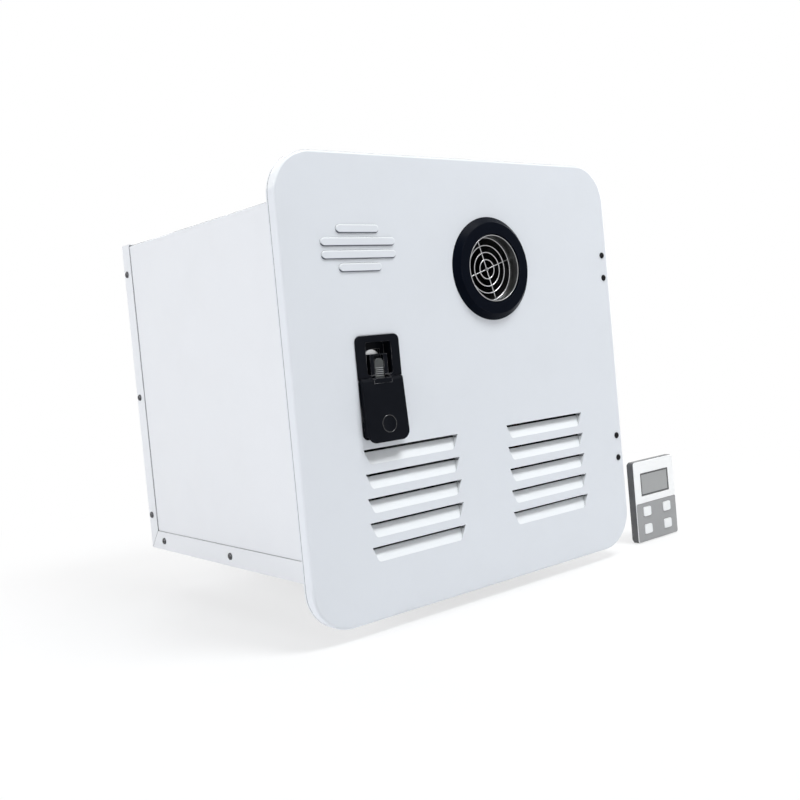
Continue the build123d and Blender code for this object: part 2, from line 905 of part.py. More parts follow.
def latch_flap():
    """Handle hinged along its top edge and lifted from below, thicker toward its foot."""
    turn = radians(flap_shoulder_turn)
    profile = (
        (flap_back, flap_pin_z),
        (flap_pin_y - lug_radius * cos(turn), flap_pin_z + lug_radius * sin(turn)),
        (flap_front, flap_face_top),
        (flap_low_front, flap_bottom),
        (flap_back, flap_bottom),
    )
    flap = side_plate(profile, flap_left, flap_right)
    flap = fillet(flap.edges().filter_by(Axis.Y).group_by(Axis.Z)[0], flap_corner_radius)
    front_edges = flap.faces().sort_by(Axis.Y)[0].edges().sort_by(Axis.Z)[:-1]
    flap = fillet(front_edges, flap_edge_radius) - flap_hollow()
    flap += rod_x(lug_radius, flap_pin_y, flap_pin_z, flap_left, flap_right)
    half = flap_notch_half()
    x = (latch_x - half, latch_x + half)
    notch_low = flap_pin_z - hood_radius
    flap -= block(x, (flap_front - overrun, flap_back + overrun), (notch_low, flap_pin_z + overrun))
    hood = rod_x(hood_radius, flap_pin_y, flap_pin_z, *x)
    hood += block(x, (flap_pin_y - hood_radius, flap_back), (notch_low, flap_pin_z))
    hood -= rod_x(lug_radius + loose_gap, flap_pin_y, flap_pin_z, *x)
    hood -= block(x, (flap_pin_y, flap_back + overrun), (notch_low, flap_pin_z + overrun))
    top = flap_pin_z + hood_rise
    hood -= block(x, (flap_front - overrun, flap_back + overrun), (top, top + overrun))
    flap += hood
    reach = flap_pin_reach + loose_gap
    bore = (latch_x - reach, latch_x + reach)
    flap -= rod_x(flap_pin_radius + running_gap, flap_pin_y, flap_pin_z, *bore)
    return flap - thumb_dish()


def latch_tab():
    """Grey thumb slider with a ribbed lower half, and its stem through the latch body."""
    centre = tab_top - tab_length / 2
    outline = Pos(latch_x, centre) * Rectangle(tab_width, tab_length)
    outline = fillet(outline.vertices().group_by(Axis.Y)[-1], tab_round)
    tab = slab(outline, tab_face, tab_back)
    x = (latch_x - tab_width, latch_x + tab_width)
    for row in range(tab_groove_count):
        z = tab_top - tab_length + tab_groove_low + row * tab_groove_pitch
        tab -= block(x, (tab_face - overrun, tab_face + tab_groove_depth), (z, z + tab_groove_width))
    stem_x = (latch_x - stem_width / 2, latch_x + stem_width / 2)
    stem_z = (centre - stem_height / 2, centre + stem_height / 2)
    return tab + block(stem_x, (tab_back, bolt_front), stem_z)


def latch_bolt():
    """Steel strip behind the latch, round at the top, with a lip that drops behind the strike."""
    half = bolt_width / 2
    length = bolt_top - half - bolt_bottom
    plate = Circle(half) + Rectangle(bolt_width, length, align=(Align.CENTER, Align.MAX))
    bolt = slab(Pos(latch_x, bolt_top - half) * plate, bolt_front, bolt_back)
    x = (latch_x - half, latch_x + half)
    reach = bolt_back + bolt_reach
    shelf_top = bolt_bottom + bolt_sheet
    bolt += block(x, (bolt_front, reach), (bolt_bottom, shelf_top))
    return bolt + block(x, (reach - bolt_sheet, reach), (bolt_bottom - bolt_lip, shelf_top))


def latch_strike():
    """Bar from the collar's left wall for the bolt's lip to drop behind."""
    left = -collar_half
    z = (strike_top - strike_height, strike_top)
    bar = block((left, latch_x + bolt_width / 2), (strike_y, strike_y + strike_sheet), z)
    foot = block((left, left + strike_sheet), (strike_y, strike_y + strike_foot_depth), z)
    return bar + foot


def open_box(z_low, z_high, sheet):
    """Four walls of the stack."""
    outer = block((stack_left, stack_right), (stack_front, stack_back), (z_low, z_high))
    return outer - block(
        (stack_left + sheet, stack_right - sheet),
        (stack_front + sheet, stack_back - sheet),
        (z_low - overrun, z_high + overrun),
    )


def outlet_x():
    """Left and right inner faces of the fan's outlet."""
    right = flue_x + scroll_radius
    return right - scroll_outlet_width, right


def burner_box():
    box = open_box(burner_bottom, burner_top, stack_sheet)
    floor_z = (burner_bottom, burner_bottom + stack_sheet)
    floor = block((stack_left, stack_right), (stack_front, stack_back), floor_z)
    outlet_y = (fan_front, fan_front + fan_width)
    floor -= block(outlet_x(), outlet_y, (burner_bottom - overrun, burner_top))
    box += floor
    wall = (stack_front - overrun, stack_front + stack_sheet)
    for x in burner_bar_places():
        box -= rod_y(jet_radius + loose_gap, x, manifold_z, *wall)
    for x in electrode_places():
        box -= rod_y(electrode_radius + running_gap, x, electrode_z, *wall)
    return box


def burner_bar_places():
    pitch = stack_width / burner_bar_count
    return [stack_left + pitch / 2 + row * pitch for row in range(burner_bar_count)]


def burner_bars():
    """Burner blades between the front and back walls, each roofed to a ridge."""
    half = burner_bar_width / 2
    low = burner_bottom + stack_sheet + burner_bar_lift - manifold_size / 2
    high = low + burner_bar_height
    bars = []
    for x in burner_bar_places():
        profile = (
            (x - half, low),
            (x + half, low),
            (x + half, high - half),
            (x + half / 2, high),
            (x - half / 2, high),
            (x - half, high - half),
        )
        outline = make_face(Polyline(*profile, close=True))
        bars.append(slab(outline, stack_front + stack_sheet, stack_back - stack_sheet))
    return bars


def water_tube_places():
    first = stack_front + stack_depth / 2 - (water_tube_count - 1) * water_tube_pitch / 2
    return [first + row * water_tube_pitch for row in range(water_tube_count)]


def water_tube_z():
    return exchanger_top - water_tube_drop - water_tube_radius


def exchanger_shell():
    """Copper casing of the heat exchanger."""
    shell = open_box(burner_top, exchanger_top, stack_sheet)
    for y in water_tube_places():
        reach = (stack_left - overrun, stack_right + overrun)
        shell -= rod_x(water_tube_radius + hole_gap, y, water_tube_z(), *reach)
    return shell


def exchanger_core():
    """Water tube that runs to and fro through brazed fins."""
    z = water_tube_z()
    left = stack_left - water_tube_reach
    right = stack_right + water_tube_reach
    places = water_tube_places()
    core = rod_x(water_tube_radius, places[0], z, left, right)
    for y in places[1:]:
        core += rod_x(water_tube_radius, y, z, left, right)
    for row in range(water_tube_count - 1):
        middle = (places[row] + places[row + 1]) / 2
        turn = 1 if row % 2 == 0 else -1
        x = left if turn > 0 else right
        start = Pos(middle + turn * water_tube_pitch / 2, z)
        circle = Plane.YZ.offset(x) * (start * Circle(water_tube_radius))
        core += revolve(circle, axis=Axis((x, middle, z), (0, 0, 1)), revolution_arc=180)
    fin_y = (stack_front + stack_sheet + fin_gap, stack_back - stack_sheet - fin_gap)
    pitch = (stack_width - 2 * stack_sheet) / (fin_count + 1)
    fin_z = (z - fin_height / 2, z + fin_height / 2)
    for row in range(fin_count):
        x = stack_left + stack_sheet + (row + 1) * pitch
        core += block((x - fin_thickness / 2, x + fin_thickness / 2), fin_y, fin_z)
    return core


def exhaust_hood():
    """Collects the exhaust above the exchanger and turns it into the flue tube."""
    hood = block((stack_left, stack_right), (stack_front, stack_back), (exchanger_top, hood_top))
    hood = fillet(hood.edges().group_by(Axis.Z)[-1], hood_bend_radius)
    hood -= block(
        (stack_left + hood_sheet, stack_right - hood_sheet),
        (stack_front + hood_sheet, stack_back - hood_sheet),
        (exchanger_top - overrun, hood_top - hood_sheet),
    )
    mouth = (stack_front - overrun, stack_front + overrun)
    return hood - rod_y(flue_radius + running_gap, flue_x, flue_z, *mouth)


def stack_legs():
    """Two folded plates that carry the stack from the floor."""
    legs = []
    y = (stack_front + leg_inset, stack_back - leg_inset)
    for side in (-1, 1):
        outer = flue_x + side * stack_width / 2
        inner = outer - side * leg_sheet
        foot = outer - side * foot_width
        leg = block((min(inner, outer), max(inner, outer)), y, (floor_top, burner_bottom))
        foot_x = (min(foot, outer), max(foot, outer))
        legs.append(leg + block(foot_x, y, (floor_top, floor_top + leg_sheet)))
    return legs


def thermostats():
    """Two limit discs on the front of the exchanger."""
    z = (burner_top + exchanger_top) / 2
    y = (stack_front - thermostat_height, stack_front)
    return [
        rod_y(thermostat_radius, flue_x + side * thermostat_spacing, z, *y) for side in (-1, 1)
    ]


def scroll_outline(margin):
    radius = scroll_radius - margin
    outlet = Pos(flue_x + radius, fan_z) * Rectangle(
        scroll_outlet_width - 2 * margin, burner_bottom - fan_z, align=(Align.MAX, Align.MIN)
    )
    return Pos(flue_x, fan_z) * Circle(radius) + outlet


def fan_housing():
    """Blower scroll with an inlet in front and its outlet into the burner box."""
    back = fan_front + fan_width
    housing = slab(scroll_outline(0), fan_front, back)
    housing -= slab(scroll_outline(scroll_sheet), fan_front + scroll_sheet, back - scroll_sheet)
    left, right = outlet_x()
    mouth_x = (left + scroll_sheet, right - scroll_sheet)
    mouth_y = (fan_front + scroll_sheet, back - scroll_sheet)
    housing -= block(mouth_x, mouth_y, (fan_z + scroll_radius / 2, burner_bottom + overrun))
    housing -= rod_y(fan_inlet_radius, flue_x, fan_z, fan_front - overrun, fan_front + overrun)
    housing -= rod_y(shaft_hole_radius, flue_x, fan_z, back - overrun, back + overrun)
    foot_z = (floor_top, fan_z - scroll_radius / 2)
    for side in (-1, 1):
        x = flue_x + side * foot_spread
        foot = block((x - foot_width / 2, x + foot_width / 2), (fan_front, back), foot_z)
        inside = rod_y(scroll_radius - scroll_sheet, flue_x, fan_z, fan_front - overrun, back + overrun)
        housing += foot - inside
    return housing


def fan_rotor():
    """Drum rotor: back plate, hub, blades and a front ring."""
    front = fan_front + scroll_sheet + rotor_side_gap
    back = fan_front + fan_width - scroll_sheet - rotor_side_gap
    inner = rotor_radius - rotor_blade_depth
    rotor = rod_y(rotor_radius, flue_x, fan_z, back - rotor_plate, back)
    rotor += rod_y(rotor_hub_radius, flue_x, fan_z, (front + back) / 2, back)
    ring = Circle(rotor_radius) - Circle(inner + rotor_blade_depth / 2)
    rotor += slab(Pos(flue_x, fan_z) * ring, front, front + rotor_plate)
    blade = Rectangle(rotor_blade_depth - 2 * running_gap, rotor_blade_thickness)
    blade = Pos(inner + rotor_blade_depth / 2, 0) * blade
    blades = [Rot(0, 0, 360 / rotor_blade_count * turn) * blade for turn in range(rotor_blade_count)]
    rotor += [slab(Pos(flue_x, fan_z) * one, front, back) for one in blades]
    return rotor - rod_y(shaft_radius, flue_x, fan_z, fan_front, back + overrun)


def fan_shaft():
    start = fan_front + fan_width / 2
    return rod_y(shaft_radius, flue_x, fan_z, start, fan_front + fan_width + motor_length / 2)


def fan_motor():
    back = fan_front + fan_width
    motor = rod_y(motor_flange_radius, flue_x, fan_z, back, back + motor_flange_thickness)
    motor += rod_y(motor_radius, flue_x, fan_z, back, back + motor_length)
    bore_end = back + motor_length / 2 + loose_gap
    return motor - rod_y(shaft_radius + running_gap, flue_x, fan_z, back - overrun, bore_end)


def gas_valve():
    """Valve block with two solenoids on top."""
    x = (valve_x - valve_width / 2, valve_x + valve_width / 2)
    bottom = valve_z - valve_height / 2
    body = block(x, (valve_front, valve_back), (bottom, bottom + valve_height))
    body = fillet(body.edges().filter_by(Axis.Y), valve_edge_radius)
    centre = (valve_front + valve_back) / 2
    top = bottom + valve_height
    for side in (-1, 1):
        y = centre + side * solenoid_spacing / 2
        body += rod_z(solenoid_radius, valve_x, y, top, top + solenoid_height)
    return body


def gas_feed_start():
    return valve_x + valve_width / 2 - gas_feed_inset


def gas_valve_bracket():
    """Stands the valve on the floor."""
    x = (valve_x - valve_width / 2, valve_x + valve_width / 2)
    y = (valve_front + foot_width, valve_back - foot_width)
    z = (floor_top, valve_z - valve_height / 2)
    return block(x, y, z) - block(
        (x[0] - overrun, x[1] + overrun),
        (y[0] + leg_sheet, y[1] - leg_sheet),
        (z[0] + leg_sheet, z[1] - leg_sheet),
    )


def gas_inlet():
    """Flare fitting through the rear cover, and the pipe to the valve."""
    return fitting(valve_x, valve_z, gas_thread_radius, gas_pipe_radius)


def gas_pipe():
    return rod_y(gas_pipe_radius, valve_x, valve_z, valve_back, cover_inside - fitting_inside_length)


def gas_manifold():
    """Square bar with one jet for each burner blade, fed by a pipe from the valve."""
    back = stack_front - manifold_gap
    y = (back - manifold_size, back)
    half = manifold_size / 2
    z = (manifold_z - half, manifold_z + half)
    places = burner_bar_places()
    left = places[0] - manifold_size
    bar = block((left, places[-1] + manifold_size), y, z)
    bar = fillet(bar.edges().filter_by(Axis.X), manifold_edge_radius)
    for x in places:
        bar += rod_y(jet_radius, x, manifold_z, back - running_gap, back + jet_length)
    for x in (places[0], places[-1]):
        bar += block((x + half, x + manifold_size), (back - half, stack_front), z)
    return bar


def gas_feed():
    """Pipe from the front of the valve to the end of the manifold."""
    x = gas_feed_start()
    y = stack_front - manifold_gap - manifold_size / 2
    left = burner_bar_places()[0] - manifold_size
    points = ((x, valve_front, valve_z), (x, y, valve_z), (x, y, manifold_z), (left, y, manifold_z))
    return pipe(points, gas_pipe_radius, gas_bend_radius)


def fitting(x, z, thread_radius, pipe_radius):
    """A connection seated against the inside of the rear cover, its thread standing out behind."""
    front = cover_inside - fitting_inside_length
    seat = cover_inside - fitting_collar_length
    neck = thread_radius * fitting_neck_share
    bore = min(fitting_bore_radius, pipe_radius * fitting_bore_radius / water_tube_radius)
    collar = fitting_collar_radius * thread_radius / water_thread_radius
    end = case_depth + fitting_step + fitting_thread_length
    points = (
        (bore, seat),
        (bore, end),
        (thread_radius, end),
        (thread_radius, case_depth + fitting_step),
        (neck, case_depth + fitting_step),
        (neck, cover_inside),
        (collar, cover_inside),
        (collar, seat),
    )
    nut = slab(Pos(x, z) * RegularPolygon(collar, 6), front, seat)
    return turned(points, x, z) + (nut - rod_y(bore, x, z, seat - fitting_socket, seat + overrun))


def cold_inlet():
    return fitting(cold_x, cold_z, water_thread_radius, water_tube_radius)


def hot_outlet():
    return fitting(hot_x, hot_z, water_thread_radius, water_tube_radius)


def flow_sensor():
    """Turbine housing in the cold line, with a sensing boss on top."""
    back = cover_inside - fitting_inside_length
    front = back - sensor_length
    body = rod_y(sensor_radius, cold_x, cold_z, front, back)
    body = chamfer(body.edges(), sensor_chamfer)
    middle = (front + back) / 2
    boss_top = cold_z + sensor_radius + sensor_boss_height
    return body + rod_z(sensor_boss_radius, cold_x, middle, cold_z, boss_top)


def cold_pipe():
    z = water_tube_z()
    start = cover_inside - fitting_inside_length - sensor_length
    end = water_tube_places()[-1]
    right = stack_right + water_tube_reach
    points = (
        (cold_x, start, cold_z),
        (cold_x, riser_y, cold_z),
        (cold_x, riser_y, z),
        (hot_x, riser_y, z),
        (hot_x, end, z),
        (right, end, z),
    )
    return pipe(points, water_tube_radius, water_bend_radius)


def hot_pipe():
    z = water_tube_z()
    y = water_tube_places()[0]
    points = (
        (stack_right + water_tube_reach, y, z),
        (hot_x, y, z),
        (hot_x, y, hot_z),
        (hot_x, cover_inside - fitting_inside_length, hot_z),
    )
    return pipe(points, water_tube_radius, water_bend_radius)


def control_box():
    """Open plastic box against the left wall, its electronics behind the lid."""
    z = (box_bottom, box_bottom + box_height)
    box = block((box_left, box_right), (box_front, box_front + box_depth), z)
    box = fillet(box.edges().filter_by(Axis.Y), box_radius)
    return box - block(
        (box_left + box_wall, box_right - box_wall),
        (box_front - overrun, box_front + box_depth - box_wall),
        (z[0] + box_wall, z[1] - box_wall),
    )


def circuit_board():
    """Control board on the floor of the box."""
    margin = 2 * box_wall
    z = (box_bottom + margin, box_bottom + box_height - margin)
    back = box_front + box_depth - box_wall
    board = block((box_left + margin, box_right - margin), (back - box_wall, back), z)
    relay_x = (box_middle - relay_size, box_middle)
    relay_y = (back - relay_size, back - box_wall)
    for row in range(relay_count):
        low = z[0] + relay_low + row * relay_pitch
        board += block(relay_x, relay_y, (low, low + relay_size))
    return board


def rocker_cutout(margin):
    return block(
        (box_middle - rocker_width / 2 - margin, box_middle + rocker_width / 2 + margin),
        (box_front - lid_thickness - overrun, box_front + lid_lip + overrun),
        (rocker_z - rocker_height / 2 - margin, rocker_z + rocker_height / 2 + margin),
    )


def control_lid():
    z = (box_bottom, box_bottom + box_height)
    lid = block((box_left, box_right), (box_front - lid_thickness, box_front), z)
    lid = fillet(lid.edges().filter_by(Axis.Y), box_radius)
    lip = box_wall + loose_gap
    lip_z = (z[0] + lip, z[1] - lip)
    lid += block((box_left + lip, box_right - lip), (box_front, box_front + lid_lip), lip_z)
    return lid - rocker_cutout(rocker_frame)


def switch_frame():
    """Frame of the mains switch, clipped in the lid."""
    front = box_front - lid_thickness - rocker_frame_proud
    back = box_front + switch_depth
    outer = Rectangle(rocker_width + 2 * rocker_frame, rocker_height + 2 * rocker_frame)
    inner = Rectangle(rocker_width + 2 * rocker_gap, rocker_height + 2 * rocker_gap)
    place = Pos(box_middle, rocker_z)
    frame = slab(place * outer, front, back) - slab(place * inner, front - overrun, back - box_wall)
    half = rocker_width / 2 + rocker_pin_reach + rocker_gap
    ends = (box_middle - half, box_middle + half)
    return frame - rod_x(rocker_pin_radius + running_gap, rocker_pin_y(), rocker_z, *ends)


def rocker_pin_y():
    return box_front - lid_thickness + rocker_pin_depth


def power_rocker():
    """Rocker with its lower half pressed in, on stub pins."""
    y = rocker_pin_y()
    front = box_front - lid_thickness - rocker_frame_proud
    half = rocker_height / 2 - rocker_gap
    tilt = half * tan(radians(rocker_tilt / 2))
    points = (
        (front - 2 * tilt, rocker_z + half),
        (front, rocker_z),
        (front, rocker_z - half),
        (y, rocker_z - half / 2),
        (y + 2 * rocker_pin_radius, rocker_z),
        (y, rocker_z + half / 2),
    )
    rocker = side_plate(points, box_middle - rocker_width / 2, box_middle + rocker_width / 2)
    reach = rocker_width / 2 + rocker_pin_reach
    return rocker + rod_x(rocker_pin_radius, y, rocker_z, box_middle - reach, box_middle + reach)


def cable_grommet():
    """Rubber grommet for the supply and controller cables, which are not part of the object."""
    points = (
        (grommet_bore_radius, cover_inside - grommet_thickness / 2),
        (grommet_radius, cover_inside - grommet_thickness / 2),
        (grommet_radius, cover_inside),
        (grommet_groove, cover_inside),
        (grommet_groove, case_depth),
        (grommet_radius, case_depth),
        (grommet_radius, case_depth + grommet_thickness / 2),
        (grommet_bore_radius, case_depth + grommet_thickness / 2),
    )
    return turned(points, grommet_x, grommet_z)


def electrode_places():
    return [flue_x + row * electrode_spacing for row in (-1, 0, 1)]


def electrodes():
    """Two spark pins and a flame rod, each a wire in a ceramic sleeve."""
    pieces = []
    start = stack_front + electrode_inside - electrode_length
    for x in electrode_places():
        piece = rod_y(electrode_radius, x, electrode_z, start, start + electrode_length)
        end = start + electrode_length + electrode_wire_length
        wire_start = start - electrode_terminal
        pieces.append(piece + rod_y(electrode_wire_radius, x, electrode_z, wire_start, end))
    return pieces


def electrode_plate():
    half = electrode_spacing + electrode_plate_margin
    z = (electrode_z - electrode_plate_height / 2, electrode_z + electrode_plate_height / 2)
    plate = block((flue_x - half, flue_x + half), (stack_front - stack_sheet, stack_front), z)
    through = (stack_front - overrun, stack_front + overrun)
    for x in electrode_places():
        plate -= rod_y(electrode_radius + running_gap, x, electrode_z, *through)
    return plate


def spark_unit():
    """Ignition coil on the right wall."""
    unit = block(
        (inside_half - spark_width, inside_half),
        (stack_front - spark_depth, stack_front),
        (spark_z, spark_z + spark_height),
    )
    return fillet(unit.edges().filter_by(Axis.X), spark_edge_radius)


def controller_outline(margin):
    return Pos(controller_x, controller_z) * RectangleRounded(
        controller_width - 2 * margin, controller_height - 2 * margin, controller_radius
    )


def button_places():
    middle_z = keypad_top - button_drop - button_pitch / 2
    return {
        "up": (controller_x - button_spacing / 2, middle_z + button_pitch / 2),
        "power": (controller_x + button_spacing / 2, middle_z + button_pitch / 2),
        "down": (controller_x - button_spacing / 2, middle_z - button_pitch / 2),
        "mode": (controller_x + button_spacing / 2, middle_z - button_pitch / 2),
    }


def button_outline(place, margin):
    return Pos(*place) * RectangleRounded(
        button_width + 2 * margin, button_height + 2 * margin, button_radius
    )


def keypad_outline(margin):
    height = keypad_height - keypad_inset - 2 * margin
    middle = keypad_top - keypad_inset - (keypad_height - keypad_inset) / 2 + keypad_inset / 2
    width = controller_width - 2 * keypad_inset - 2 * margin
    outline = RectangleRounded(width, height - keypad_inset, controller_radius - keypad_inset)
    return Pos(controller_x, middle) * outline


def controller_front_shell():
    """White front with a window, a sunk keypad bed and holes for the buttons."""
    back = controller_front + controller_shell_depth
    shell = slab(controller_outline(0), controller_front, back)
    shell = fillet(shell.edges().group_by(Axis.Y)[0], controller_edge_radius)
    inside = controller_front + controller_face_thickness
    shell -= slab(controller_outline(controller_wall), inside, back + overrun)
    window = Pos(controller_x, screen_z) * RectangleRounded(screen_width, screen_height, screen_radius)
    shell -= slab(window, controller_front - overrun, controller_front + screen_thickness + button_gap)
    view = Rectangle(screen_width - 2 * controller_wall, screen_height - 2 * controller_wall)
    shell -= slab(Pos(controller_x, screen_z) * view, controller_front - overrun, back)
    shell -= slab(keypad_outline(0), controller_front - overrun, controller_front + keypad_groove)
    for place in button_places().values():
        shell -= slab(button_outline(place, button_gap), controller_front - overrun, back)
    return shell


def controller_keypad():
    """Grey lower panel laid in its bed."""
    front = controller_front + keypad_groove - keypad_thickness + button_gap
    panel = slab(keypad_outline(button_gap), front, controller_front + keypad_groove)
    for place in button_places().values():
        panel -= slab(button_outline(place, button_gap), front - overrun, controller_front + overrun)
    return panel


def controller_screen():
    window = Pos(controller_x, screen_z) * RectangleRounded(
        screen_width - 2 * button_gap, screen_height - 2 * button_gap, screen_radius - button_gap
    )
    return slab(window, controller_front + button_gap, controller_front + screen_thickness + button_gap)


def controller_board():
    """Circuit board that carries the key switches and the display."""
    back = controller_front + controller_shell_depth - back_plate_lip
    margin = controller_wall + button_gap
    return slab(controller_outline(margin), back - controller_board_thickness, back)


def controller_back():
    """Wall plate with two screw holes and a lip inside the front."""
    seat = controller_front + controller_shell_depth
    plate = slab(controller_outline(back_plate_inset), seat, seat + back_plate_thickness)
    lip_edge = controller_wall + button_gap
    lip = controller_outline(lip_edge) - controller_outline(lip_edge + controller_wall)
    plate += slab(lip, seat - back_plate_lip, seat)
    through = (seat - overrun, seat + back_plate_thickness + overrun)
    for turn in (-1, 1):
        z = controller_z + turn * back_screw_pitch / 2
        plate -= rod_y(back_screw_radius, controller_x, z, *through)
    return plate


def controller_button(place):
    """Square key cap with a retaining flange behind the front."""
    front = controller_front - button_proud
    flange_front = controller_front + controller_face_thickness + button_gap
    cap = slab(button_outline(place, 0), front, flange_front)
    cap = fillet(cap.edges().group_by(Axis.Y)[0], button_proud / 2)
    flange_back = flange_front + button_flange_thickness
    return cap + slab(button_outline(place, button_flange), flange_front, flange_back)


os.makedirs("parts", exist_ok=True)
save("case_shell", case_shell())
save("bottom_tray", bottom_tray())
save("rear_cover", rear_cover())
save("case_screws", *case_screws())
save("mounting_flange", mounting_flange())
save("door_panel", door_panel())
save("door_seal", door_seal())
save("exhaust_ring", exhaust_ring())
save("flue_tube", flue_tube())
save("flue_guard", flue_guard())
save("hinge_door_leaves", *[hinge_door_leaf(z) for z in hinge_places()])
save("hinge_frame_leaves", *[hinge_frame_leaf(z) for z in hinge_places()])
save("hinge_pins", *[hinge_pin(z) for z in hinge_places()])
save("hinge_screws", *hinge_screws())
save("latch_bezel", latch_bezel())
save("latch_pins", *flap_pins())
save("latch_flap", latch_flap())
save("latch_tab", latch_tab())
save("latch_bolt", latch_bolt())
save("latch_strike", latch_strike())
save("burner_box", burner_box())
save("burner_bars", *burner_bars())
save("exchanger_shell", exchanger_shell())
save("exchanger_core", exchanger_core())
save("exhaust_hood", exhaust_hood())
save("stack_legs", *stack_legs())
save("thermostats", *thermostats())
save("fan_housing", fan_housing())
save("fan_rotor", fan_rotor())
save("fan_shaft", fan_shaft())
save("fan_motor", fan_motor())
save("gas_valve", gas_valve())
save("gas_valve_bracket", gas_valve_bracket())
save("gas_inlet", gas_inlet())
save("gas_pipe", gas_pipe())
save("gas_feed", gas_feed())
save("gas_manifold", gas_manifold())
save("cold_inlet", cold_inlet())
save("hot_outlet", hot_outlet())
save("flow_sensor", flow_sensor())
save("cold_pipe", cold_pipe())
save("hot_pipe", hot_pipe())
save("control_box", control_box())
save("circuit_board", circuit_board())
save("control_lid", control_lid())
save("switch_frame", switch_frame())
save("power_rocker", power_rocker())
save("cable_grommet", cable_grommet())
save("electrodes", *electrodes())
save("electrode_plate", electrode_plate())
save("spark_unit", spark_unit())
save("controller_front", controller_front_shell())
save("controller_back", controller_back())
save("controller_board", controller_board())
save("controller_screen", controller_screen())
save("controller_keypad", controller_keypad())
for name, place in button_places().items():
    save(f"button_{name}", controller_button(place))
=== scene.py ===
import math

import bmesh
import bpy
from mathutils import Matrix, Vector


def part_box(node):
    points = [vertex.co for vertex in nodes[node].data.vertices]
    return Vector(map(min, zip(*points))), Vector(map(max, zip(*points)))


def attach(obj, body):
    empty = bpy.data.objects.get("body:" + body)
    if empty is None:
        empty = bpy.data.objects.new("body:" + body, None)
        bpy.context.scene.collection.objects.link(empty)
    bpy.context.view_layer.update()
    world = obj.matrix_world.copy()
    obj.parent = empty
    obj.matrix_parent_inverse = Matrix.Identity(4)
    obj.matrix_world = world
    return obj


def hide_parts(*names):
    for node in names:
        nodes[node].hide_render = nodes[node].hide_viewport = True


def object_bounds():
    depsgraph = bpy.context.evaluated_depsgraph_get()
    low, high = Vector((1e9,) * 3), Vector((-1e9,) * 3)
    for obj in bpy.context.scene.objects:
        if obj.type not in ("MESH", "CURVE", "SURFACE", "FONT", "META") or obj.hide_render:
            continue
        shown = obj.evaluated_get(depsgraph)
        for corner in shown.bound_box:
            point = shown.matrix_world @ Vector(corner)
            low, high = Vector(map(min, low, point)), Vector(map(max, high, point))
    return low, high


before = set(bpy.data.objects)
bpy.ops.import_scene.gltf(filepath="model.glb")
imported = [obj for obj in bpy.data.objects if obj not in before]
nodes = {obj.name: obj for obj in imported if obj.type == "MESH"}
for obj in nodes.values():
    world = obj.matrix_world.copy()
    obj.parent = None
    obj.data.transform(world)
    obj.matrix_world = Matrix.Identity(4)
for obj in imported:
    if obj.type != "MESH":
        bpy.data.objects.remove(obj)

mm = 0.001  # the frame is in metres
micron = 0.000001
cadBox = [list(corner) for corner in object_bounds()]
print("heater: frame loaded,", len(nodes), "nodes")


# camera

cameraSettings = {
    "place": (-589.35, -661.84, 34.01),  # mm, out from the heater's left front corner
    "azimuth": -39.674,
    "elevation": 2.444,
    "roll": -5.188,  # the photo leans
    "lens": 44.42,
    "sensor": 36,
    "shift": (-0.0423, -0.0236),
    "near": 10,  # mm
}


def placeCamera(s):
    azimuth, elevation, roll = (math.radians(s[key]) for key in ("azimuth", "elevation", "roll"))
    back = Vector((
        math.sin(azimuth) * math.cos(elevation),
        -math.cos(azimuth) * math.cos(elevation),
        math.sin(elevation),
    ))
    level = (-back).to_track_quat("-Z", "Y").to_matrix()
    right, up = level.col[0], level.col[1]
    tiltedRight = right * math.cos(roll) + up * math.sin(roll)
    tiltedUp = up * math.cos(roll) - right * math.sin(roll)
    data = bpy.data.cameras.new("photoCamera")
    data.sensor_width = s["sensor"]
    data.lens = s["lens"]
    data.shift_x, data.shift_y = s["shift"]
    data.clip_start = s["near"] * mm
    camera = bpy.data.objects.new("photoCamera", data)
    turn = Matrix((tiltedRight, tiltedUp, back)).transposed().to_4x4()
    camera.matrix_world = Matrix.Translation(Vector(s["place"]) * mm) @ turn
    bpy.context.scene.collection.objects.link(camera)
    bpy.context.scene.camera = camera


placeCamera(cameraSettings)


# shader helpers

def feed(tree, socket, value):  # a number or a tuple is set, an output is linked
    if isinstance(value, (int, float, tuple)):
        socket.default_value = value
    else:
        tree.links.new(value, socket)


def newGroup(name, inputs, outputs):  # a float stands for a number, anything else for a vector
    group = bpy.data.node_groups.new(name, "ShaderNodeTree")
    for side, sockets in (("INPUT", inputs), ("OUTPUT", outputs)):
        for label, value in sockets.items():
            kind = "NodeSocketFloat" if isinstance(value, float) else "NodeSocketVector"
            socket = group.interface.new_socket(name=label, in_out=side, socket_type=kind)
            if side == "INPUT" and value is not None:
                socket.default_value = value
    return group, group.nodes.new("NodeGroupInput"), group.nodes.new("NodeGroupOutput")


def useGroup(tree, group, values):
    node = tree.nodes.new("ShaderNodeGroup")
    node.node_tree = group
    for label, value in values.items():
        feed(tree, node.inputs[label], value)
    return node.outputs


def noiseNode(tree, vector, scale, detail, rough=0.5):
    noise = tree.nodes.new("ShaderNodeTexNoise")
    for label, value in (("Vector", vector), ("Scale", scale), ("Detail", detail), ("Roughness", rough)):
        feed(tree, noise.inputs[label], value)
    return noise.outputs["Fac"]


def mathNode(tree, operation, first, second):
    node = tree.nodes.new("ShaderNodeMath")
    node.operation = operation
    feed(tree, node.inputs[0], first)
    feed(tree, node.inputs[1], second)
    return node.outputs[0]


def vectorNode(tree, operation, first, second=None):
    node = tree.nodes.new("ShaderNodeVectorMath")
    node.operation = operation
    feed(tree, node.inputs[0], first)
    if second is not None:
        feed(tree, node.inputs[1], second)
    return node.outputs


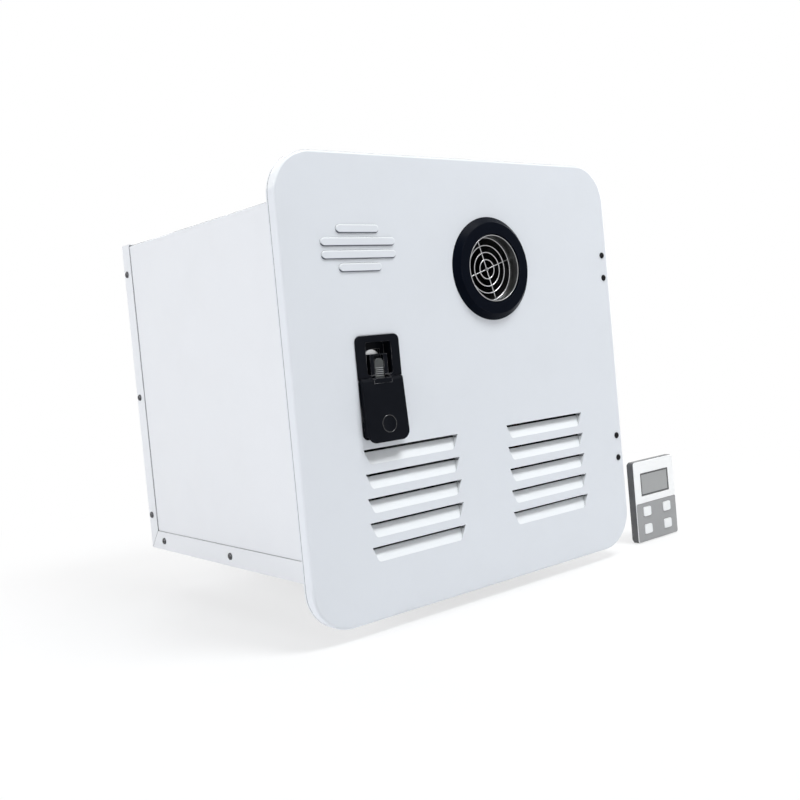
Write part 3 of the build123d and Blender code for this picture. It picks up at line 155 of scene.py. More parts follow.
def stretchNode(tree, value, fromLow, fromHigh, toLow=0.0, toHigh=1.0):
    node = tree.nodes.new("ShaderNodeMapRange")
    node.interpolation_type = "SMOOTHSTEP"
    for socket, number in zip(node.inputs[:5], (value, fromLow, fromHigh, toLow, toHigh)):
        feed(tree, socket, number)
    return node.outputs[0]


def mixColour(tree, share, first, second):
    mix = tree.nodes.new("ShaderNodeMix")
    mix.data_type = "RGBA"
    feed(tree, mix.inputs[0], share)
    for socket, value in ((mix.inputs[6], first), (mix.inputs[7], second)):
        feed(tree, socket, (*value, 1) if isinstance(value, tuple) else value)
    return mix.outputs[2]


def mixShader(tree, share, first, second):
    mix = tree.nodes.new("ShaderNodeMixShader")
    for socket, value in zip(mix.inputs, (share, first, second)):
        tree.links.new(value, socket)
    return mix.outputs[0]


def seesCamera(tree):  # 1 for what the camera sees directly, in a reflection or through glass
    path = tree.nodes.new("ShaderNodeLightPath").outputs
    shown = mathNode(tree, "MAXIMUM", path["Is Camera Ray"], path["Is Glossy Ray"])
    return mathNode(tree, "MAXIMUM", shown, path["Is Transmission Ray"])


# light, floor and background

studio = {
    "world": (0.95, 0.97, 1.0),
    "worldStrength": 0.18,
    "floorDrop": 0.4,  # mm under the lowest part
    "floorRadius": 6,  # m
    "floorSides": 96,
    "floorColour": (0.9, 0.9, 0.9),
    "floorRough": 0.85,
    "floorShade": 0.34,  # how much of its own shading the camera sees over white, near the part
    "floorFade": (0.30, 0.95),  # m from the middle, where that shade dies out
    "lamps": {
        "topSoft": {
            "at": (0.45, -1.05, 2.15), "aim": (0.05, 0, 0),
            "size": 1.0, "power": 48, "colour": (0.965, 0.99, 1.0),
        },
        "sideSoft": {
            "at": (-2.9, 0.35, 0.9), "aim": (0, 0.15, 0),
            "size": 2.2, "power": 47, "colour": (0.97, 0.98, 1.0),
        },
        "rightSoft": {
            "at": (2.9, 0.35, 0.9), "aim": (0, 0.15, 0),
            "size": 2.2, "power": 31, "colour": (0.98, 0.99, 1.0),
        },
        "frontFill": {
            "at": (1.3, -2.7, 0.7), "aim": (0.05, 0, 0),
            "size": 2.4, "power": 1, "colour": (0.93, 0.96, 1.0),
        },
        "backSoft": {
            "at": (0.6, 2.9, 1.1), "aim": (0, 0.2, 0),
            "size": 2.0, "power": 34, "colour": (1.0, 1.0, 1.0),
        },
    },
}


def makeWorld(s):
    world = bpy.data.worlds.new("studioWorld")
    world.use_nodes = True
    tree = world.node_tree
    tree.nodes.clear()
    out = tree.nodes.new("ShaderNodeOutputWorld")
    light = tree.nodes.new("ShaderNodeBackground")
    light.inputs["Color"].default_value = (*s["world"], 1)
    light.inputs["Strength"].default_value = s["worldStrength"]
    seen = tree.nodes.new("ShaderNodeBackground")
    seen.inputs["Color"].default_value = (1, 1, 1, 1)
    seen.inputs["Strength"].default_value = 1
    surface = mixShader(tree, seesCamera(tree), light.outputs[0], seen.outputs[0])
    tree.links.new(surface, out.inputs["Surface"])
    bpy.context.scene.world = world


def makeLamp(name, s):
    data = bpy.data.lights.new(name, "AREA")
    data.shape = "DISK"
    data.size = s["size"]
    data.energy = s["power"]
    data.color = s["colour"]
    lamp = bpy.data.objects.new(name, data)
    lamp.location = s["at"]
    lamp.rotation_mode = "QUATERNION"
    lamp.rotation_quaternion = (Vector(s["aim"]) - Vector(s["at"])).to_track_quat("-Z", "Y")
    lamp.visible_camera = False
    bpy.context.scene.collection.objects.link(lamp)


def floorMaterial(s):
    material = bpy.data.materials.new("paleFloor")
    material.use_nodes = True
    tree = material.node_tree
    shader = tree.nodes["Principled BSDF"]
    shader.inputs["Base Color"].default_value = (*s["floorColour"], 1)
    shader.inputs["Roughness"].default_value = s["floorRough"]
    white = tree.nodes.new("ShaderNodeEmission")
    white.inputs["Strength"].default_value = 1
    reach = vectorNode(tree, "LENGTH", tree.nodes.new("ShaderNodeTexCoord").outputs["Object"])["Value"]
    shade = stretchNode(tree, reach, *s["floorFade"], s["floorShade"], 0.0)
    share = mathNode(tree, "MULTIPLY", seesCamera(tree), mathNode(tree, "SUBTRACT", 1.0, shade))
    surface = mixShader(tree, share, shader.outputs[0], white.outputs[0])
    tree.links.new(surface, tree.nodes["Material Output"].inputs["Surface"])
    return material


def makeFloor(s):
    mesh = bpy.data.meshes.new("paleFloor")
    build = bmesh.new()
    bmesh.ops.create_circle(build, cap_ends=True, segments=s["floorSides"], radius=s["floorRadius"])
    bmesh.ops.translate(build, verts=build.verts, vec=(0, 0, cadBox[0][2] - s["floorDrop"] * mm))
    build.to_mesh(mesh)
    build.free()
    mesh.materials.append(floorMaterial(s))
    floor = bpy.data.objects.new("paleFloor", mesh)
    bpy.context.scene.collection.objects.link(floor)


makeWorld(studio)
for lampName, lampSettings in studio["lamps"].items():
    makeLamp(lampName, lampSettings)
makeFloor(studio)
bpy.context.scene.view_settings.view_transform = "Standard"
print("heater: camera and studio ready")


# effects that the finishes share

grainLook = {"detail": 3, "pits": 1.7, "broad": 0.03, "broadDetail": 4, "broadRange": (0.3, 0.7)}


def makeGrainGroup(s):  # fine skin of paint, plastic or casting
    group, start, end = newGroup(
        "surfaceGrain", {"Vector": None, "Scale": 900.0, "Speckle": 0.3}, {"Height": 0.0, "Sheen": 0.0})
    vector, scale = start.outputs["Vector"], start.outputs["Scale"]
    skin = noiseNode(group, vector, scale, s["detail"])
    pits = group.nodes.new("ShaderNodeTexVoronoi")
    feed(group, pits.inputs["Vector"], vector)
    feed(group, pits.inputs["Scale"], mathNode(group, "MULTIPLY", scale, s["pits"]))
    speckle = mathNode(group, "MULTIPLY", pits.outputs["Distance"], start.outputs["Speckle"])
    feed(group, end.inputs["Height"], mathNode(group, "ADD", skin, speckle))
    broad = noiseNode(group, vector, mathNode(group, "MULTIPLY", scale, s["broad"]), s["broadDetail"])
    feed(group, end.inputs["Sheen"], stretchNode(group, broad, *s["broadRange"]))
    return group


linesLook = {"detail": 2, "range": (0.35, 0.65)}


def makeLinesGroup(s):  # long fine lines left by rolling or drawing, running along Y
    group, start, end = newGroup(
        "drawnLines", {"Vector": None, "Scale": 2500.0, "Length": 0.02}, {"Lines": 0.0})
    stretch = group.nodes.new("ShaderNodeCombineXYZ")
    for axis, value in enumerate((1, start.outputs["Length"], 1)):
        feed(group, stretch.inputs[axis], value)
    squeezed = vectorNode(group, "MULTIPLY", start.outputs["Vector"], stretch.outputs[0])[0]
    lines = noiseNode(group, squeezed, start.outputs["Scale"], s["detail"])
    feed(group, end.inputs["Lines"], stretchNode(group, lines, *s["range"]))
    return group


wearAndHighlightLook = {
    "samples": 6,
    "edge": (0.99, 0.80),  # cosines of the rounded normal's turn, where the edge colour starts and where it is full
    "patchDetail": 5, "patchRough": 0.6, "patchRange": (0.45, 0.62),
    "dust": 0.3, "dustDetail": 6, "dustRough": 0.65, "dustRange": (0.42, 0.75),
}


def makeWearAndHighlightGroup(s):  # rounded and worn edges, also carrying painted highlights where a finish gives its edges a bright colour, and dusty places
    group, start, end = newGroup(
        "edgeWearAndHighlight", {"Vector": None, "Radius": 0.0006, "Patches": 60.0},
        {"EdgeWearAndHighlight": 0.0, "Dust": 0.0, "Normal": None})
    vector, patches = start.outputs["Vector"], start.outputs["Patches"]
    bevel = group.nodes.new("ShaderNodeBevel")
    bevel.samples = s["samples"]
    feed(group, bevel.inputs["Radius"], start.outputs["Radius"])
    shape = group.nodes.new("ShaderNodeNewGeometry")
    turned = vectorNode(group, "DOT_PRODUCT", bevel.outputs[0], shape.outputs["Normal"])["Value"]
    edgePatches = noiseNode(group, vector, patches, s["patchDetail"], s["patchRough"])
    edgePatches = stretchNode(group, edgePatches, *s["patchRange"])
    edge = stretchNode(group, turned, *s["edge"])
    feed(group, end.inputs["EdgeWearAndHighlight"], mathNode(group, "MULTIPLY", edge, edgePatches))
    scale = mathNode(group, "MULTIPLY", patches, s["dust"])
    dust = noiseNode(group, vector, scale, s["dustDetail"], s["dustRough"])
    feed(group, end.inputs["Dust"], stretchNode(group, dust, *s["dustRange"]))
    feed(group, end.inputs["Normal"], bevel.outputs[0])
    return group


# painted shade: the near-black colour that crevices are darkened towards
creviceShadeLook = {"samples": 8, "colour": (0.006, 0.006, 0.009)}


def makeCreviceShadeGroup(s):  # mask for painted shade: 0 deep in a slot, a seam or the shut case, 1 in the open
    group, start, end = newGroup(
        "creviceShade", {"Reach": 0.004, "Dark": 0.1, "Open": 0.5}, {"Clear": 0.0})
    shut = group.nodes.new("ShaderNodeAmbientOcclusion")
    shut.samples = s["samples"]
    feed(group, shut.inputs["Distance"], start.outputs["Reach"])
    clear = stretchNode(group, shut.outputs["AO"], start.outputs["Dark"], start.outputs["Open"])
    feed(group, end.inputs["Clear"], clear)
    return group


def makeInsideGroup():  # 1 on surfaces that lie inside a box of the object's space
    group, start, end = newGroup("insideMask", {"Vector": None, "Low": None, "High": None}, {"Inside": 0.0})
    parts = []
    for label in ("Vector", "Low", "High"):
        split = group.nodes.new("ShaderNodeSeparateXYZ")
        feed(group, split.inputs[0], start.outputs[label])
        parts.append(split.outputs)
    inside = 1.0
    for value, low, high in zip(*parts):
        inside = mathNode(group, "MULTIPLY", inside, mathNode(group, "GREATER_THAN", value, low))
        inside = mathNode(group, "MULTIPLY", inside, mathNode(group, "LESS_THAN", value, high))
    feed(group, end.inputs["Inside"], inside)
    return group


def makeFacingGroup():  # 1 on surfaces that face along an axis
    group, start, end = newGroup(
        "facingMask", {"Normal": None, "Axis": (0, -1, 0), "From": 0.4, "To": 0.7}, {"Facing": 0.0})
    along = vectorNode(group, "DOT_PRODUCT", start.outputs["Normal"], start.outputs["Axis"])["Value"]
    facing = stretchNode(group, along, start.outputs["From"], start.outputs["To"])
    feed(group, end.inputs["Facing"], facing)
    return group


grainGroup = makeGrainGroup(grainLook)
linesGroup = makeLinesGroup(linesLook)
wearAndHighlightGroup = makeWearAndHighlightGroup(wearAndHighlightLook)
creviceShadeGroup = makeCreviceShadeGroup(creviceShadeLook)
insideGroup = makeInsideGroup()
facingGroup = makeFacingGroup()


# finishes: grain and lines in features per metre, height in microns, radius, corners and the reach of the
# painted shade in crevices, in mm

shutCaseShade = (450, 0.0, 0.12)  # painted shade in crevices as wide as the case: dark when the door is shut

finishSettings = {
    "whitePaint": {
        "colour": (0.770, 0.793, 0.835), "edge": (0.83, 0.85, 0.88),
        "dust": (0.735, 0.755, 0.790), "dustShare": 0.30,
        "rough": (0.34, 0.46), "grain": 1100, "height": 12, "radius": 0.5,
        # painted shade deep in the louvre slots and seams
        "shadeInCrevices": (5, 0.40, 0.70),
        "facings": (  # painted highlight on the louvres' slopes, painted shade on level edges
            {"axis": (0, 0, 1), "from": 0.08, "to": 0.20, "share": 1.0, "colour": (0.90, 0.92, 0.94)},
            {"axis": (0, 0, 1), "from": 0.60, "to": 0.90, "share": 0.9, "colour": (0.52, 0.53, 0.545)},
        ),
        "under": {  # painted shadow along the lower edges of the pressed bars
            "axis": (0, 0, -1), "from": 0.10, "to": 0.45, "colour": (0.10, 0.11, 0.14),
            "low": (-155, -20, 70), "high": (-70, 0, 130),
        },
    },
    "casePaint": {
        "colour": (0.800, 0.812, 0.838), "edge": (0.86, 0.87, 0.89),
        "dust": (0.765, 0.775, 0.795), "dustShare": 0.30,
        "rough": (0.36, 0.50), "grain": 900, "height": 15, "radius": 0.5,
        # painted shade in seams and corners
        "shadeInCrevices": (3, 0.36, 0.74),
        # painted shade on surfaces facing up
        "facings": (
            {"axis": (0, 0, 1), "from": 0.55, "to": 0.90, "share": 0.85, "colour": (0.53, 0.54, 0.555)},
        ),
        "inside": {  # darker grey inside the case: painted shade for the shut case, deepened further in by more painted shade
            "low": (-159.5, 1.5, -160.5), "high": (159.5, 349.3, 159.5), "colour": (0.20, 0.205, 0.21),
        },
    },
    "platedSteel": {
        "colour": (0.60, 0.61, 0.62), "edge": (0.78, 0.78, 0.79), "metal": 1.0,
        "dust": (0.42, 0.43, 0.43), "dustShare": 0.5,
        "rough": (0.24, 0.42), "lines": 3200, "grain": 2400, "height": 6, "radius": 0.3,
    },
    "stainlessSteel": {
        "colour": (0.62, 0.625, 0.63), "edge": (0.82, 0.81, 0.80), "metal": 1.0,
        "dust": (0.38, 0.38, 0.375), "dustShare": 0.35,
        "rough": (0.20, 0.36), "lines": 2600, "grain": 1800, "height": 5, "radius": 0.2,
        # painted shade inside the shut case
        "shadeInCrevices": shutCaseShade,
    },
    "blackSteel": {
        "colour": (0.004, 0.004, 0.005), "edge": (0.02, 0.02, 0.022), "specular": 0.16,
        "dust": (0.01, 0.01, 0.011), "dustShare": 0.4,
        "rough": (0.26, 0.40), "grain": 2600, "height": 6, "radius": 0.2,
    },
    "blackPlastic": {
        # edge colour: worn edges, with a painted highlight on bevels such as the exhaust ring's
        "colour": (0.0006, 0.0020, 0.0062), "edge": (0.060, 0.064, 0.075), "specular": 0.035,
        "dust": (0.003, 0.0045, 0.0090), "dustShare": 0.4,
        "rough": (0.30, 0.46), "grain": 2600, "height": 30, "radius": 0.5, "speckle": 0.8,
    },
    "latchPlastic": {
        # edge colour: painted highlight lines along the latch's edges
        "colour": (0.0045, 0.0055, 0.0085), "edge": (0.55, 0.55, 0.56), "specular": 0.045,
        "dust": (0.010, 0.011, 0.015), "dustShare": 0.7,
        "rough": (0.28, 0.42), "grain": 2000, "height": 30, "radius": 0.4, "speckle": 0.9,
    },
    "greyPlastic": {
        "colour": (0.060, 0.064, 0.064), "edge": (0.26, 0.27, 0.27), "specular": 0.3,
        "dust": (0.11, 0.115, 0.115), "dustShare": 0.8,
        "rough": (0.40, 0.55), "grain": 2400, "height": 20, "radius": 0.3, "speckle": 0.9,
        # painted shade in the grooves of the tab
        "shadeInCrevices": (1.2, 0.3, 0.85),
    },
    # lighter than the tab's own grey: painted highlight on the ribs
    "ribHighlightGrey": {
        "colour": (0.30, 0.31, 0.31), "edge": (0.40, 0.41, 0.41), "specular": 0.4,
        "dust": (0.14, 0.14, 0.14), "dustShare": 0.6,
        "rough": (0.35, 0.50), "grain": 2400, "height": 10, "radius": 0.1, "speckle": 0.9,
    },
    # painted shade: the keypad's mid grey stands in for the shade over it
    "keypadShadeGrey": {
        "colour": (0.36, 0.36, 0.365), "edge": (0.50, 0.50, 0.50),
        "dust": (0.42, 0.42, 0.42), "dustShare": 0.4,
        "rough": (0.45, 0.60), "grain": 2200, "height": 10, "radius": 0.3, "speckle": 0.4,
    },
    "whitePlastic": {
        "colour": (0.95, 0.955, 0.96), "edge": (0.97, 0.97, 0.97),
        "dust": (0.89, 0.895, 0.90), "dustShare": 0.3,
        "rough": (0.28, 0.40), "grain": 2000, "height": 8, "radius": 0.5, "speckle": 0.4,
    },
    "shellPlastic": {
        "colour": (0.10, 0.101, 0.104), "edge": (0.90, 0.90, 0.90),
        "dust": (0.60, 0.60, 0.60), "dustShare": 0.05,
        "rough": (0.28, 0.40), "grain": 2000, "height": 8, "radius": 0.4, "speckle": 0.4,
        "facings": (  # white face, grey sides
            {"axis": (0, -1, 0), "from": 0.45, "to": 0.75, "share": 1.0, "colour": (1.0, 1.0, 1.0)},
        ),
    },
    "displayGrey": {
        "colour": (0.33, 0.335, 0.335), "edge": (0.45, 0.45, 0.45), "coat": 1.0,
        "dust": (0.37, 0.375, 0.375), "dustShare": 0.6,
        "rough": (0.10, 0.18), "grain": 500, "height": 1, "radius": 0.2,
    },
    "boardGreen": {
        "colour": (0.020, 0.13, 0.055), "edge": (0.25, 0.30, 0.16),
        "dust": (0.05, 0.20, 0.09), "dustShare": 0.6,
        "rough": (0.28, 0.42), "grain": 1600, "height": 10, "radius": 0.2,
    },
    "bareCopper": {
        "colour": (0.46, 0.19, 0.10), "edge": (0.82, 0.46, 0.30), "metal": 1.0,
        "dust": (0.20, 0.08, 0.05), "dustShare": 0.75,
        "rough": (0.22, 0.44), "grain": 1500, "height": 6, "radius": 0.3,
        # painted shade inside the shut case
        "shadeInCrevices": shutCaseShade,
    },
    "bareBrass": {
        "colour": (0.68, 0.50, 0.20), "edge": (0.85, 0.68, 0.36), "metal": 1.0,
        "dust": (0.42, 0.29, 0.11), "dustShare": 0.6,
        "rough": (0.20, 0.38), "grain": 1800, "height": 5, "radius": 0.3,
        # painted shade inside the shut case
        "shadeInCrevices": shutCaseShade,
    },
    "castAluminium": {
        "colour": (0.62, 0.63, 0.64), "edge": (0.80, 0.80, 0.81), "metal": 1.0,
        "dust": (0.45, 0.455, 0.46), "dustShare": 0.5,
        "rough": (0.36, 0.55), "grain": 1300, "height": 30, "radius": 0.6,
        # painted shade inside the shut case
        "shadeInCrevices": shutCaseShade,
    },
    "glossBlack": {
        "colour": (0.010, 0.0105, 0.012), "edge": (0.08, 0.08, 0.085), "specular": 0.7,
        "dust": (0.02, 0.02, 0.021), "dustShare": 0.3,
        "rough": (0.14, 0.24), "grain": 2600, "height": 5, "radius": 0.2,
    },
    "darkPlated": {
        "colour": (0.10, 0.10, 0.105), "edge": (0.45, 0.45, 0.46), "metal": 1.0,
        "dust": (0.03, 0.03, 0.03), "dustShare": 0.5,
        "rough": (0.18, 0.34), "grain": 2400, "height": 6, "radius": 0.2,
    },
    "flueSteel": {
        "colour": (0.23, 0.232, 0.238), "edge": (0.40, 0.40, 0.41), "metal": 1.0,
        "dust": (0.12, 0.12, 0.12), "dustShare": 0.35,
        "rough": (0.34, 0.44), "lines": 2400, "grain": 1500, "height": 4, "radius": 0.3,
    },
    "shadeGrey": {
        "colour": (0.085, 0.086, 0.088), "edge": (0.20, 0.20, 0.20), "specular": 0.3,
        "dust": (0.12, 0.12, 0.12), "dustShare": 0.4,
        "rough": (0.40, 0.55), "grain": 2200, "height": 10, "radius": 0.3, "speckle": 0.4,
    },
    "blackRubber": {
        "colour": (0.020, 0.020, 0.021), "edge": (0.05, 0.05, 0.05), "specular": 0.2,
        "dust": (0.05, 0.05, 0.05), "dustShare": 0.6,
        "rough": (0.70, 0.90), "grain": 1500, "height": 80, "radius": 0.6, "speckle": 1.2,
    },
    "glazedCeramic": {
        "colour": (0.82, 0.80, 0.74), "edge": (0.86, 0.84, 0.80),
        "dust": (0.62, 0.58, 0.50), "dustShare": 0.4,
        "rough": (0.12, 0.22), "grain": 900, "height": 8, "radius": 0.3,
    },
}


def facingMask(tree, normal, s):
    values = {"Normal": normal, "Axis": s["axis"], "From": s["from"], "To": s["to"]}
    return useGroup(tree, facingGroup, values)["Facing"]


def zoneMask(tree, place, s):
    low, high = (tuple(value * mm for value in s[side]) for side in ("low", "high"))
    return useGroup(tree, insideGroup, {"Vector": place, "Low": low, "High": high})["Inside"]


# paints shade into a colour: near-black where the ambient occlusion finds crevices
def paintCreviceShade(tree, values, colour):
    reach, dark, opened = values
    clear = useGroup(tree, creviceShadeGroup, {"Reach": reach * mm, "Dark": dark, "Open": opened})["Clear"]
    return mixColour(tree, clear, creviceShadeLook["colour"], colour)


def finishColour(tree, s, place, normal, wearAndHighlight):
    dusty = mathNode(tree, "MULTIPLY", wearAndHighlight["Dust"], s["dustShare"])
    colour = mixColour(tree, dusty, s["colour"], s["dust"])
    for facing in s.get("facings", ()):
        share = mathNode(tree, "MULTIPLY", facingMask(tree, normal, facing), facing["share"])
        colour = mixColour(tree, share, colour, facing["colour"])
    # edge colour: worn edges, and painted highlight lines where a finish's edge colour is bright
    colour = mixColour(tree, wearAndHighlight["EdgeWearAndHighlight"], colour, s["edge"])
    if "inside" in s:
        # painted shade inside the case
        insideShade = paintCreviceShade(tree, shutCaseShade, s["inside"]["colour"])
        colour = mixColour(tree, zoneMask(tree, place, s["inside"]), colour, insideShade)
    # painted shadow under the pressed bars
    if "under" in s:
        below = facingMask(tree, normal, s["under"])
        share = mathNode(tree, "MULTIPLY", zoneMask(tree, place, s["under"]), below)
        colour = mixColour(tree, share, colour, s["under"]["colour"])
    # painted shade in slots, seams and corners
    return paintCreviceShade(tree, s["shadeInCrevices"], colour) if "shadeInCrevices" in s else colour


def makeFinish(name, s):
    material = bpy.data.materials.new(name)
    material.use_nodes = True
    tree = material.node_tree
    shader = tree.nodes["Principled BSDF"].inputs
    where = tree.nodes.new("ShaderNodeTexCoord").outputs
    place = where["Object"]
    grainValues = {"Vector": place, "Scale": s["grain"], "Speckle": s.get("speckle", 0.2)}
    grain = useGroup(tree, grainGroup, grainValues)
    wearAndHighlight = useGroup(tree, wearAndHighlightGroup, {"Vector": place, "Radius": s["radius"] * mm})
    feed(tree, shader["Base Color"], finishColour(tree, s, place, where["Normal"], wearAndHighlight))

    sheen = grain["Sheen"]
    if "lines" in s:
        lines = useGroup(tree, linesGroup, {"Vector": place, "Scale": s["lines"]})["Lines"]
        sheen = mathNode(tree, "MULTIPLY", mathNode(tree, "ADD", sheen, lines), 0.5)
    feed(tree, shader["Roughness"], stretchNode(tree, sheen, 0.0, 1.0, *s["rough"]))

    bump = tree.nodes.new("ShaderNodeBump")
    feed(tree, bump.inputs["Distance"], s["height"] * micron)
    feed(tree, bump.inputs["Height"], grain["Height"])
    feed(tree, bump.inputs["Normal"], wearAndHighlight["Normal"])
    feed(tree, shader["Normal"], bump.outputs[0])
    feed(tree, shader["Metallic"], s.get("metal", 0.0))
    feed(tree, shader["Coat Weight"], s.get("coat", 0.0))
    feed(tree, shader["Specular IOR Level"], s.get("specular", 0.5))
    return material


finishes = {name: makeFinish(name, s) for name, s in finishSettings.items()}
print("heater: finishes made,", len(finishes))


# finishes of the nodes whose CAD shape stays

nodeFinishes = {
    "whitePaint": ("door_panel", "mounting_flange"),
    "casePaint": ("case_shell", "bottom_tray", "rear_cover"),
    "platedSteel": (
        "case_screws", "hinge_pins", "latch_strike", "latch_pins", "latch_bolt", "stack_legs", "thermostats",
        "gas_valve_bracket", "electrode_plate", "fan_shaft", "hinge_frame_leaves", "hinge_door_leaves",
    ),
    "stainlessSteel": ("flue_guard", "burner_box", "burner_bars", "exhaust_hood"),
    "flueSteel": ("flue_tube",),
    "blackSteel": ("hinge_screws",),
    "blackPlastic": (
        "exhaust_ring", "control_box", "switch_frame", "power_rocker", "fan_rotor", "spark_unit",
    ),
    "latchPlastic": ("latch_bezel", "latch_flap"),
    "greyPlastic": ("latch_tab",),
    "keypadShadeGrey": ("controller_keypad",),
    "whitePlastic": ("control_lid", "button_up", "button_down", "button_power", "button_mode"),
    "shellPlastic": ("controller_front",),
    "shadeGrey": ("controller_back",),
    "displayGrey": ("controller_screen",),
    "boardGreen": ("circuit_board", "controller_board"),
    "bareCopper": ("exchanger_shell", "exchanger_core", "cold_pipe", "hot_pipe"),
    "bareBrass": ("gas_inlet", "cold_inlet", "hot_outlet", "flow_sensor"),
    "castAluminium": ("gas_valve", "gas_manifold", "gas_pipe", "gas_feed", "fan_housing", "fan_motor"),
    "blackRubber": ("door_seal", "cable_grommet"),
    "glazedCeramic": ("electrodes",),
}


def dressNodes(table):
    for finish, names in table.items():
        for name in names:
            for part in nodes[name].material_slots:
                part.material = finishes[finish]


dressNodes(nodeFinishes)
print("heater: nodes dressed")


# pieces with the detail that a solid leaves out

meshSettings = {"weld": 2, "sharp": 35, "bevelSteps": 2}  # weld in microns, sharp in degrees


def addPiece(name, build, finish, body, replaced=()):
    mesh = bpy.data.meshes.new(name)
    bmesh.ops.remove_doubles(build, verts=build.verts, dist=meshSettings["weld"] * micron)
    bmesh.ops.recalc_face_normals(build, faces=build.faces)
    build.to_mesh(mesh)
    build.free()
    mesh.materials.append(finishes[finish])
    mesh.polygons.foreach_set("use_smooth", [True] * len(mesh.polygons))
    mesh.set_sharp_from_angle(angle=math.radians(meshSettings["sharp"]))
    piece = bpy.data.objects.new(name, mesh)
    bpy.context.scene.collection.objects.link(piece)
    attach(piece, body)
    if replaced:
        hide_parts(*replaced)


def turnTo(place, along):
    return Matrix.Translation(place) @ Vector(along).to_track_quat("Z", "Y").to_matrix().to_4x4()


def joinRows(build, rows, loop):
    for low, high in zip(rows, rows[1:] + rows[:1] if loop else rows[1:]):
        for step, vert in enumerate(low):
            after = (step + 1) % len(low)
            build.faces.new((vert, low[after], high[after], high[step]))


def addLathe(build, profile, turn, segments, loop=True, shape=None):
    rows = []
    for radius, height in profile:
        row = []
        for step in range(segments):
            angle = 2 * math.pi * step / segments
            reach, rise = shape(radius, height, angle) if shape else (radius, height)
            place = Vector((reach * math.cos(angle), reach * math.sin(angle), rise))
            row.append(build.verts.new(turn @ place))
        rows.append(row)
    joinRows(build, rows, loop)


def addWireRing(build, radius, wire, turn, segments=120, sides=14):
    angles = [2 * math.pi * step / sides for step in range(sides)]
    profile = [(radius + wire * math.cos(angle), wire * math.sin(angle)) for angle in angles]
    addLathe(build, profile, turn, segments)


def addRod(build, start, end, radius, segments=14):
    along = end - start
    bmesh.ops.create_cone(
        build, cap_ends=True, segments=segments, radius1=radius, radius2=radius, depth=along.length,
        matrix=turnTo((start + end) / 2, along))


def softenEdges(build, verts, offset):
    edges = list({edge for vert in verts for edge in vert.link_edges})
    bmesh.ops.bevel(build, geom=edges, offset=offset, segments=meshSettings["bevelSteps"], affect="EDGES")


def cornersOf(node):
    return (Vector(corner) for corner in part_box(node))


# exhaust

guardSettings = {
    "rings": (8.7, 15.3, 21.6),
    "wire": 0.5,
    "barWire": 0.48,
    "barBack": 0.45,  # mm that the bars lie behind the rings
    "turn": 17,
    "hub": (3.0, 1.0, 3.0),
    "hubEdge": 0.2,
    "eye": 0.9,
    "eyeWire": 0.2,
    "eyeSegments": 32,
    "outerSegments": 160,
}


def makeGuard(s):
    low, high = cornersOf("flue_guard")
    middle = (low + high) / 2
    outer = (high.x - low.x) / 2 - s["wire"] * mm
    front = turnTo(middle, (0, -1, 0))
    build = bmesh.new()
    for radius in s["rings"]:
        addWireRing(build, radius * mm, s["wire"] * mm, front)
    addWireRing(build, outer, s["wire"] * mm, front, s["outerSegments"])
    back = middle + Vector((0, s["barBack"] * mm, 0))
    for quarter in (0, 90):
        angle = math.radians(s["turn"] + quarter)
        reach = Vector((math.cos(angle), 0, math.sin(angle))) * outer
        addRod(build, back - reach, back + reach, s["barWire"] * mm)
    addPiece("flueGuardWire", build, "stainlessSteel", "case", ("flue_guard",))


def makeGuardHub(s):
    low, high = cornersOf("flue_guard")
    middle = (low + high) / 2
    level = Matrix.Translation(middle) @ Matrix.Rotation(-math.radians(s["turn"]), 4, "Y")
    wide, deep, tall = (size * mm for size in s["hub"])
    build = bmesh.new()
    block = bmesh.ops.create_cube(build, size=1, matrix=level @ Matrix.Diagonal((wide, deep, tall, 1)))
    softenEdges(build, block["verts"], s["hubEdge"] * mm)
    eyeTurn = turnTo(middle, (0, -1, 0)) @ Matrix.Translation((0, 0, deep / 2))
    addWireRing(build, s["eye"] * mm, s["eyeWire"] * mm, eyeTurn, s["eyeSegments"])
    addPiece("flueGuardHub", build, "flueSteel", "case")


makeGuard(guardSettings)
makeGuardHub(guardSettings)

rimSettings = {"wire": 0.3, "inset": 0.2, "segments": 160}


def makeRim(s):  # rolled edge of the exhaust tube
    low, high = cornersOf("flue_tube")
    middle = Vector(((low.x + high.x) / 2, low.y + s["inset"] * mm, (low.z + high.z) / 2))
    radius = (high.x - low.x) / 2 - s["wire"] * mm
    build = bmesh.new()
    addWireRing(build, radius, s["wire"] * mm, turnTo(middle, (0, -1, 0)), s["segments"])
    addPiece("flueRim", build, "stainlessSteel", "case")


makeRim(rimSettings)
print("heater: exhaust done")


# latch

thumbSettings = {
    "at": (-106.0, -31.5),
    "radius": 7.0,
    "band": 0.35,  # mm either side of the radius, where the dish's corners are looked for
    "deep": 1.2,  # mm behind the foremost corner
    "wire": 0.34,
    "sink": 0.14,
    "segments": 72,
    "sides": 10,
}


def makeThumbRing(s):  # raised edge of the round dish on the pull handle, which leans with its face
    acrossX, acrossZ = (value * mm for value in s["at"])
    rim = [
        vert.co.copy() for vert in nodes["latch_flap"].data.vertices
        if abs(math.hypot(vert.co.x - acrossX, vert.co.z - acrossZ) / mm - s["radius"]) < s["band"]
    ]
    front = min(place.y for place in rim)
    rim = [place for place in rim if place.y < front + s["deep"] * mm]
    top, foot = max(rim, key=lambda place: place.z), min(rim, key=lambda place: place.z)
    outward = Vector((-1, 0, 0)).cross((top - foot).normalized())
    if outward.y > 0:
        outward.negate()
    middle = (top + foot) / 2
    middle.x = acrossX
    turn = turnTo(middle - outward * s["sink"] * mm, outward)
    build = bmesh.new()
    addWireRing(build, s["radius"] * mm, s["wire"] * mm, turn, s["segments"], s["sides"])
    addPiece("thumbRing", build, "glossBlack", "flap")


makeThumbRing(thumbSettings)

